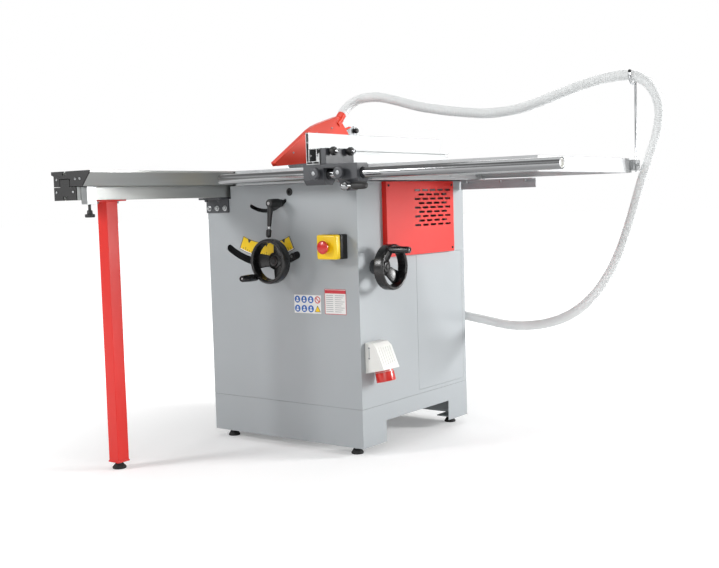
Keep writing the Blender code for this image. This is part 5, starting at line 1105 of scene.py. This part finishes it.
class SAW_OT_controls(bpy.types.Operator):
    """Tilt scale, both handwheels with grips and the tilt clamp lever"""

    bl_idname = "saw.controls"
    bl_label = "Controls"

    def execute(self, context):
        radius = context.scene.saw_sizes.wheel_diameter / 2
        self.scale_marks()
        axle = middle_of_axle("height_handwheel")
        hub = Vector((axle.x, FRONT_Y - 0.044, axle.z))
        self.wheel("height_handwheel", "height_wheel", hub, Vector((0, -1, 0)), radius, 0.0)
        self.height_shaft(hub)
        self.grip("height_crank_grip", "height_grip", Vector((0, -1, 0)))
        hub = Vector((BLADE_X + CABINET_RIGHT + 0.030, middle("tilt_handwheel").y,
                      middle("tilt_handwheel").z))
        self.wheel("tilt_handwheel", "tilt_wheel", hub, Vector((1, 0, 0)), radius, 0.35)
        self.tilt_shaft(hub)
        self.grip("tilt_crank_grip", "tilt_grip", Vector((1, 0, 0)))
        self.lock_lever()
        self.slot_bolt()
        return {"FINISHED"}

    def slot_bolt(self):
        """Washer and bolt that ride in the lower slot as the unit tilts."""
        turn = math.radians(21.8)
        reach = 0.2876
        place = at(reach * math.sin(turn), -0.0022, TABLE_TOP - reach * math.cos(turn))
        bm = bmesh.new()
        add_turned(bm, eased([(0, 0), (0.0122, 0), (0.0122, 0.0024), (0, 0.0024)], 0.0006), place,
                   (0, -1, 0), 40, 0)
        add_turned(bm, eased([(0, 0.0022), (0.0040, 0.0022), (0.0040, 0.0050), (0, 0.0050)], 0.0006),
                   place + Vector((-0.003, 0, 0.002)), (0, -1, 0), 6, 1)
        add_turned(bm, [(0, -0.0060), (0.0060, -0.0060), (0.0060, 0.0005), (0, 0.0005)], place,
                   (0, -1, 0), 24, 0)
        keep_piece("slot_bolt", bm, ["black", "zinc"], "tilting_unit")

    def scale_marks(self):
        """Yellow scale plate with a black line at every second degree."""
        softened("tilt_scale", "scale", 0.0)
        bm = bmesh.new()

        def band(inner, outer, start, end, finish, lift=0.0):
            """A short piece of ring, split so that it follows the arc."""
            steps = max(1, round(abs(end - start) / 2))
            for i in range(steps):
                a = math.radians(start + (end - start) * i / steps)
                b = math.radians(start + (end - start) * (i + 1) / steps)
                corners = [(r * math.sin(t), 0, TABLE_TOP - r * math.cos(t))
                           for r, t in ((inner, a), (inner, b), (outer, b), (outer, a))]
                add_plate(bm, corners, at(0, -0.00135 - lift, 0), (0, -0.0002, 0), finish)

        for degree in range(-22, 23, 2):
            inner = 0.252 if degree % 10 == 0 else 0.257
            band(inner, 0.2635, degree - 0.14, degree + 0.14, 0)
        band(0.2240, 0.2256, -25, 25, 0)
        band(0.2664, 0.2680, -25, 25, 0)
        band(0.2636, 0.2664, -24.6, 24.6, 1)
        band(0.2240, 0.2680, -25, -24.6, 0, 0.0001)
        band(0.2240, 0.2680, 24.6, 25, 0, 0.0001)
        for degree in (-18, 0, 18):
            tip, wide = math.radians(degree), math.radians(1.9)
            wedge = [(r * math.sin(t), 0, TABLE_TOP - r * math.cos(t))
                     for r, t in ((0.2256, tip - wide), (0.2256, tip + wide), (0.2370, tip))]
            add_plate(bm, wedge, at(0, -0.00135, 0), (0, -0.0002, 0), 0)
        keep_piece("scale_marks", bm, ["ink_black", "paper"], "machine")

    def wheel(self, node, body, hub, line, radius, phase):
        """Glossy rim, flat spokes and a black centre cap."""
        bm = bmesh.new()
        r = radius
        rim = [
            (r - 0.0128, 0.0200), (r - 0.0085, 0.0152), (r - 0.0035, 0.0151), (r - 0.0001, 0.0190),
            (r - 0.0001, 0.0440), (r - 0.0035, 0.0489), (r - 0.0085, 0.0489), (r - 0.0112, 0.0450),
            (r - 0.0128, 0.0200),
        ]
        add_turned(bm, eased(rim, 0.0024, 3), hub, line, 96, 0)
        add_turned(bm, eased([
            (0, 0.0005), (0.0155, 0.0005), (0.0170, 0.0030), (0.0260, 0.0090), (0.0260, 0.0125),
            (0.0165, 0.0150), (0.0150, 0.0195), (0, 0.0195),
        ], 0.0010), hub, line, 64, 0)
        add_turned(bm, eased([
            (0, 0.0185), (0.0085, 0.0185), (0.0085, 0.0212), (0.0070, 0.0222), (0, 0.0222),
        ], 0.0005), hub, line, 36, 1)
        first = Vector((0, 0, 1))
        second = line.cross(first)
        for i in range(3):
            turn = phase + math.pi / 2 + i * math.tau / 3
            out = first * math.cos(turn) + second * math.sin(turn)
            across = line.cross(out)
            corners = []
            for reach, wide, deep in ((0.0170, 0.0155, 0.0050), (r - 0.0110, 0.0235, 0.0170)):
                corners.append([out * reach + across * wide, out * reach - across * wide, deep])
            verts = []
            for a, b, deep in corners:
                for offset in (0.0, 0.0075):
                    verts.append(bm.verts.new(hub + a + line * (deep + offset)))
                    verts.append(bm.verts.new(hub + b + line * (deep + offset)))
            made = bmesh.ops.convex_hull(bm, input=verts)["geom"]
            edges = [e for e in made if isinstance(e, bmesh.types.BMEdge)
                     and e.calc_face_angle(0.0) > math.radians(30)]
            bmesh.ops.bevel(bm, geom=edges, offset=0.0024, affect="EDGES", segments=3, profile=0.5,
                            material=-1)
        keep_piece(node + "_finished", bm, ["wheel", "black"], body, (node,), 45.0)

    def height_shaft(self, hub):
        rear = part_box("height_handwheel")[1].y
        length = rear - hub.y - 0.001
        bm = bmesh.new()
        add_turned(bm, eased([
            (0, -0.002), (0.0140, -0.002), (0.0140, 0.012), (0.0098, 0.014), (0.0098, length),
            (0, length),
        ], 0.0008), hub, (0, 1, 0), 40)
        keep_piece("height_shaft", bm, ["turned"], "height_wheel")

    def tilt_shaft(self, hub):
        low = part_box("tilt_handwheel")[0].x
        length = hub.x - low
        bm = bmesh.new()
        add_turned(bm, eased([
            (0, 0), (0.0122, 0), (0.0122, 0.020), (0.0090, 0.023), (0.0090, length), (0, length),
        ], 0.0006), (low, hub.y, hub.z), (1, 0, 0), 40)
        keep_piece("tilt_shaft", bm, ["turned"], "tilt_wheel")
        bm = bmesh.new()
        wall = BLADE_X + CABINET_RIGHT
        add_turned(bm, eased([
            (0.0096, 0.0003), (0.0220, 0.0003), (0.0220, 0.0060), (0.0150, 0.0085), (0.0150, 0.0200),
            (0.0096, 0.0200), (0.0096, 0.0003),
        ], 0.0008), (wall, hub.y, hub.z), (1, 0, 0), 48)
        keep_piece("tilt_bearing", bm, ["casting"], "machine")

    def grip(self, node, body, line):
        """Barrel grip with a hexagon steel screw end."""
        low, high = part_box(node)
        centre = (low + high) / 2
        length = (high - low).dot(Vector([abs(c) for c in line]))
        base = centre - line * (length / 2)
        bm = bmesh.new()
        add_turned(bm, eased([
            (0, 0), (0.0062, 0), (0.0062, 0.0030), (0.0100, 0.0050), (0.0108, 0.0280), (0.0104, 0.0500),
            (0.0094, 0.0680), (0.0080, 0.0716), (0.0048, 0.0716), (0.0044, 0.0660), (0, 0.0660),
        ], 0.0010, 4), base, line, 48, 0)
        add_turned(bm, eased([(0, 0.0655), (0.0034, 0.0655), (0.0034, 0.0690), (0, 0.0690)], 0.0004),
                   base, line, 6, 1)
        keep_piece(node + "_finished", bm, ["wheel", "zinc"], body, (node,), 50.0)

    def lock_lever(self):
        """Hub, tapered arm and ball-nosed grip."""
        joint = next(j for j in frame["joints"] if j["name"] == "tilt_lock_turn")
        pivot = Vector(joint["pos_m"])
        bm = bmesh.new()
        line = Vector((0, -1, 0))
        add_turned(bm, eased([
            (0, -0.0370), (0.0042, -0.0370), (0.0042, 0), (0.0115, 0.0003), (0.0115, 0.012),
            (0.0138, 0.016), (0.0143, 0.034), (0.0128, 0.056), (0.0104, 0.0596), (0, 0.0596),
        ], 0.0014), pivot, line, 48, 0)
        add_turned(bm, eased([(0, 0.0590), (0.0048, 0.0590), (0.0048, 0.0602), (0, 0.0602)], 0.0003),
                   pivot, line, 24, 1)
        start = Vector((pivot.x - 0.002, FRONT_Y - 0.054, pivot.z - 0.006))
        way = Vector((-0.04, -0.10, -1.0))
        add_turned(bm, eased([
            (0, 0), (0.0094, 0.002), (0.0077, 0.030), (0.0061, 0.0620), (0.0040, 0.0640), (0.0040, 0.0722),
            (0.0081, 0.0740), (0.0082, 0.0900), (0.0062, 0.0962), (0, 0.0976),
        ], 0.0016, 4), start, way, 36, 0)
        add_turned(bm, [(0.0030, 0.0640), (0.0049, 0.0640), (0.0049, 0.0712), (0.0030, 0.0712),
                        (0.0030, 0.0640)], start, way, 36, 1)
        keep_piece("tilt_lock_lever_finished", bm, ["black", "zinc"], "tilt_lock",
                   ("tilt_lock_lever",), 50.0)


# ---- blade, knife and guard ---------------------------------------------------
class SAW_OT_blade_and_guard(bpy.types.Operator):
    """Blade with tipped teeth, riving knife, guard and its knob"""

    bl_idname = "saw.blade_and_guard"
    bl_label = "Blade and guard"

    def execute(self, context):
        softened("saw_blade", "blade", 0.0)
        self.tips()
        softened("riving_knife", "stainless", 0.0004)
        softened("blade_guard", "guard", 0.0007, shading=35.0)
        softened("guard_knob", "black", 0.0006)
        softened("blade_flange", "turned", 0.0005)
        softened("arbor_nut", "turned", 0.0005)
        self.guard_fittings()
        return {"FINISHED"}

    def tips(self):
        """Carbide tip brazed on every tooth, a little wider than the plate."""
        low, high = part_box("saw_blade")
        centre = (low + high) / 2
        radius = (high.z - low.z) / 2
        bm = bmesh.new()
        for tooth in range(40):
            turn = math.tau * (tooth + 0.80) / 40
            faces = add_block(bm, (-0.0014, -0.0014, -0.0040), (0.0014, 0.0014, 0.0036))
            verts = list({v for f in faces for v in f.verts})
            spin = Matrix.Rotation(turn, 4, "X") @ Matrix.Translation((0, 0, radius - 0.0046))
            bmesh.ops.transform(bm, matrix=Matrix.Translation(centre) @ spin, verts=verts)
        keep_piece("blade_tips", bm, ["carbide"], "arbor")

    def guard_fittings(self):
        """Clamp band round the spigot and screws that hold the guard's halves."""
        start = at(0.0, 0.372, TABLE_TOP + 0.159)
        way = Vector((0, 1, 1)).normalized()
        bm = bmesh.new()
        add_turned(bm, eased([
            (0.0149, 0.016), (0.0160, 0.016), (0.0160, 0.018), (0.0149, 0.018), (0.0149, 0.016),
        ], 0.0003), start, way, 40)
        keep_piece("spigot_bead", bm, ["guard"], "tilting_unit")
        places = []
        for y, z in ((0.395, 0.060), (0.385, 0.110), (0.330, 0.140), (0.250, 0.120), (0.130, 0.055)):
            places.append(at(0.0100, y, TABLE_TOP + z))
        bolts("guard_screws_right", places, (1, 0, 0), "tilting_unit", 0.006, "zinc", True)
        places = [Vector((2 * BLADE_X - p.x, p.y, p.z)) for p in places]
        bolts("guard_screws_left", places, (-1, 0, 0), "tilting_unit", 0.006, "zinc", True)


# ---- inner works --------------------------------------------------------------
class SAW_OT_inner_works(bpy.types.Operator):
    """Tilt frame, lift, motor, pulleys, belt and shafts"""

    bl_idname = "saw.inner_works"
    bl_label = "Inner works"

    def execute(self, context):
        for node in ("trunnion_seat_front", "trunnion_seat_rear", "tilt_frame", "lift_carriage"):
            softened(node, "iron", 0.0007)
        softened("drive_belt", "rubber", 0.0004)
        for node in ("arbor_shaft", "motor_pulley"):
            softened(node, "turned", 0.0004)
        self.motor()
        self.spindle()
        return {"FINISHED"}

    def motor(self):
        """Finned motor case and fan cover."""
        low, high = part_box("motor")
        length = high.x - low.x
        radius = (high.z - low.z) / 2
        start = Vector((low.x, (low.y + high.y) / 2, (low.z + high.z) / 2))
        bm = bmesh.new()
        add_turned(bm, eased([
            (0, 0.0004), (radius * 0.88, 0.0004), (radius * 0.92, 0.010), (radius * 0.92, length - 0.046),
            (radius * 0.95, length - 0.044), (radius * 0.95, length - 0.010),
            (radius * 0.84, length - 0.0005),
            (0, length - 0.0005),
        ], 0.0015), start, (1, 0, 0), 64)
        for i in range(36):
            turn = math.tau * i / 36
            faces = add_block(bm, (0.014, -0.0009, radius * 0.90), (length - 0.050, 0.0009, radius * 0.992))
            verts = list({v for f in faces for v in f.verts})
            spin = Matrix.Translation(start) @ Matrix.Rotation(turn, 4, "X")
            bmesh.ops.transform(bm, matrix=spin, verts=verts)
        keep_piece("motor_finished", bm, ["motor"], "lifting_unit", ("motor",), 40.0)

    def spindle(self):
        """Threaded lift spindle with its bevel gear."""
        low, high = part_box("lift_screw")
        joint = next(j for j in frame["joints"] if j["name"] == "lift_spindle_turn")
        base = Vector((joint["pos_m"][0], joint["pos_m"][1], low.z))
        length = high.z - low.z
        profile = [(0, 0), (0.0058, 0), (0.0058, 0.0095), (0.0120, 0.0095), (0.0085, 0.0155),
                   (0.0058, 0.0155)]
        pitch = 0.0025
        turns = int((length - 0.020) / pitch)
        for i in range(turns):
            profile.append((0.0048, 0.0170 + i * pitch))
            profile.append((0.0059, 0.0170 + (i + 0.5) * pitch))
        profile += [(0.0050, length), (0, length)]
        bm = bmesh.new()
        add_turned(bm, profile, base, (0, 0, 1), 24)
        keep_piece("lift_screw_finished", bm, ["turned"], "lift_spindle", ("lift_screw",), 30.0)


# ---- stage --------------------------------------------------------------------
class SAW_OT_stage(bpy.types.Operator):
    """Pale floor, white surroundings, soft lamps and the camera"""

    bl_idname = "saw.stage"
    bl_label = "Stage"

    def execute(self, context):
        stage = context.scene.saw_stage
        self.camera(context, stage)
        self.floor()
        self.surroundings(context)
        self.lamp("key_softbox", at(-1.7, -3.0, 1.95), at(0.10, 0.0, 0.55), 0.8, stage.key * 1.3)
        self.lamp("front_softbox", at(1.8, -2.8, 1.2), at(0.30, 0.0, 0.40), 1.8, stage.fill * 0.8)
        self.lamp("right_softbox", at(3.4, 2.3, 1.25), at(0.35, 0.25, 0.55), 1.0, stage.fill * 3.8)
        self.lamp("top_softbox", at(0.6, 0.2, 3.6), at(0.2, 0.2, 0.0), 2.8, stage.key * 0.8)
        self.lamp("rear_softbox", at(-0.4, 3.6, 2.4), at(0.2, 0.2, 0.6), 2.0, stage.fill)
        return {"FINISHED"}

    def camera(self, context, stage):
        data = bpy.data.cameras.new("camera")
        data.sensor_width = 36.0
        data.lens = stage.lens
        data.clip_end = 60.0
        camera = bpy.data.objects.new("camera", data)
        context.scene.collection.objects.link(camera)
        yaw, pitch, roll = -0.6431, -0.0780, -0.0282
        ahead = Vector((math.sin(yaw) * math.cos(pitch), math.cos(yaw) * math.cos(pitch), math.sin(pitch)))
        level = Vector((math.cos(yaw), -math.sin(yaw), 0.0))
        upright = level.cross(ahead)
        right = level * math.cos(roll) + upright * math.sin(roll)
        top = upright * math.cos(roll) - level * math.sin(roll)
        turn = Matrix((right, top, -ahead)).transposed().to_4x4()
        camera.matrix_world = Matrix.Translation(at(2.178, -2.434, 0.7495)) @ turn
        context.scene.camera = camera
        context.scene.view_settings.view_transform = "Standard"

    def floor(self):
        bm = bmesh.new()
        bmesh.ops.create_grid(bm, x_segments=1, y_segments=1, size=40.0)
        mesh = bpy.data.meshes.new("floor")
        bm.to_mesh(mesh)
        bm.free()
        floor = bpy.data.objects.new("floor", mesh)
        bpy.context.scene.collection.objects.link(floor)
        paint = bpy.data.materials.new("pale_floor_paint")
        paint.use_nodes = True
        tree = paint.node_tree
        tree.nodes.clear()
        matt = add_node(tree, "ShaderNodeBsdfDiffuse", {"Color": (0.84, 0.84, 0.84, 1.0)})
        place = add_node(tree, "ShaderNodeTexCoord").outputs["Object"]
        away = add_node(tree, "ShaderNodeVectorMath", {0: place}, operation="LENGTH")
        bright = add_node(tree, "ShaderNodeMapRange", {
            "Value": away.outputs["Value"], "From Min": 0.7, "From Max": 2.4, "To Min": 0.22, "To Max": 1.0,
        }, interpolation_type="SMOOTHSTEP")
        glow = add_node(tree, "ShaderNodeEmission", {
            "Color": (1.0, 1.0, 1.0, 1.0), "Strength": bright.outputs["Result"],
        })
        rays = add_node(tree, "ShaderNodeLightPath")
        seen = add_node(tree, "ShaderNodeMath", {
            0: rays.outputs["Is Camera Ray"], 1: rays.outputs["Is Glossy Ray"],
        }, operation="MAXIMUM")
        also = add_node(tree, "ShaderNodeMath", {
            0: seen.outputs[0], 1: rays.outputs["Is Transmission Ray"],
        }, operation="MAXIMUM")
        none = add_node(tree, "ShaderNodeEmission", {"Strength": 0.0})
        extra = add_node(tree, "ShaderNodeMixShader", {
            0: also.outputs[0], 1: none.outputs[0], 2: glow.outputs[0],
        })
        both = add_node(tree, "ShaderNodeAddShader", {0: matt.outputs[0], 1: extra.outputs[0]})
        add_node(tree, "ShaderNodeOutputMaterial", {"Surface": both.outputs[0]})
        mesh.materials.append(paint)

    def surroundings(self, context):
        world = bpy.data.worlds.new("white_surroundings")
        context.scene.world = world
        world.use_nodes = True
        tree = world.node_tree
        tree.nodes.clear()
        rays = add_node(tree, "ShaderNodeLightPath")
        seen = add_node(tree, "ShaderNodeMath", {
            0: rays.outputs["Is Camera Ray"], 1: rays.outputs["Is Transmission Ray"],
        }, operation="MAXIMUM")
        # Polished metal shows dark walls between a bright window and the floor.
        way = add_node(tree, "ShaderNodeTexCoord").outputs["Generated"]
        height = add_node(tree, "ShaderNodeSeparateXYZ", {"Vector": way})
        sky = add_node(tree, "ShaderNodeFloatCurve", {"Value": height.outputs["Z"]})
        line = sky.mapping.curves[0]
        line.points[0].location = (0.0, 0.20)
        line.points[1].location = (1.0, 0.62)
        for spot in ((0.10, 0.22), (0.24, 1.0), (0.42, 1.0), (0.62, 0.42)):
            line.points.new(*spot)
        sky.mapping.update()
        plain = add_node(tree, "ShaderNodeBackground", {"Color": (1.0, 1.0, 1.0, 1.0), "Strength": 0.22})
        mirrored = add_node(tree, "ShaderNodeBackground", {
            "Color": (1.0, 1.0, 1.0, 1.0), "Strength": sky.outputs["Value"],
        })
        white = add_node(tree, "ShaderNodeBackground", {"Color": (1.0, 1.0, 1.0, 1.0), "Strength": 1.0})
        soft = add_node(tree, "ShaderNodeMixShader", {
            0: rays.outputs["Is Glossy Ray"], 1: plain.outputs[0], 2: mirrored.outputs[0],
        })
        mixed = add_node(tree, "ShaderNodeMixShader", {
            0: seen.outputs[0], 1: soft.outputs[0], 2: white.outputs[0],
        })
        add_node(tree, "ShaderNodeOutputWorld", {"Surface": mixed.outputs[0]})

    def lamp(self, name, place, target, size, power):
        data = bpy.data.lights.new(name, "AREA")
        data.shape = "SQUARE"
        data.size = size
        data.energy = power
        lamp = bpy.data.objects.new(name, data)
        bpy.context.scene.collection.objects.link(lamp)
        lamp.location = place
        lamp.rotation_euler = (target - place).to_track_quat("-Z", "Y").to_euler()


# ---- add-on -------------------------------------------------------------------
class SAW_PT_sidebar(bpy.types.Panel):
    """Lists the saw's groups of pieces and its sizes and colours"""

    bl_idname = "SAW_PT_sidebar"
    bl_label = "Panel saw"
    bl_space_type = "VIEW_3D"
    bl_region_type = "UI"
    bl_category = "Panel saw"

    def draw(self, context):
        scene = context.scene
        for group in (scene.saw_sizes, scene.saw_colours, scene.saw_stage):
            box = self.layout.box()
            for name in group.__annotations__:
                box.prop(group, name)
        for operator in OPERATORS:
            self.layout.operator(operator.bl_idname)


OPERATORS = (
    SAW_OT_stage, SAW_OT_hose, SAW_OT_cabinet, SAW_OT_tables, SAW_OT_sliding_table, SAW_OT_fence,
    SAW_OT_electrics, SAW_OT_dust_fittings, SAW_OT_controls, SAW_OT_blade_and_guard,
    SAW_OT_inner_works,
)
GROUPS = (SawSizes, SawColours, SawStage)


def register():
    for one in GROUPS + OPERATORS + (SAW_PT_sidebar,):
        bpy.utils.register_class(one)
    bpy.types.Scene.saw_sizes = bpy.props.PointerProperty(type=SawSizes)
    bpy.types.Scene.saw_colours = bpy.props.PointerProperty(type=SawColours)
    bpy.types.Scene.saw_stage = bpy.props.PointerProperty(type=SawStage)


def unregister():
    del bpy.types.Scene.saw_sizes
    del bpy.types.Scene.saw_colours
    del bpy.types.Scene.saw_stage
    for one in reversed(GROUPS + OPERATORS + (SAW_PT_sidebar,)):
        bpy.utils.unregister_class(one)


def main():
    register()
    FINISH.update(make_finishes(bpy.context.scene.saw_colours))
    for operator in OPERATORS:
        group, name = operator.bl_idname.split(".")
        getattr(getattr(bpy.ops, group), name)()


if __name__ == "__main__":
    main()
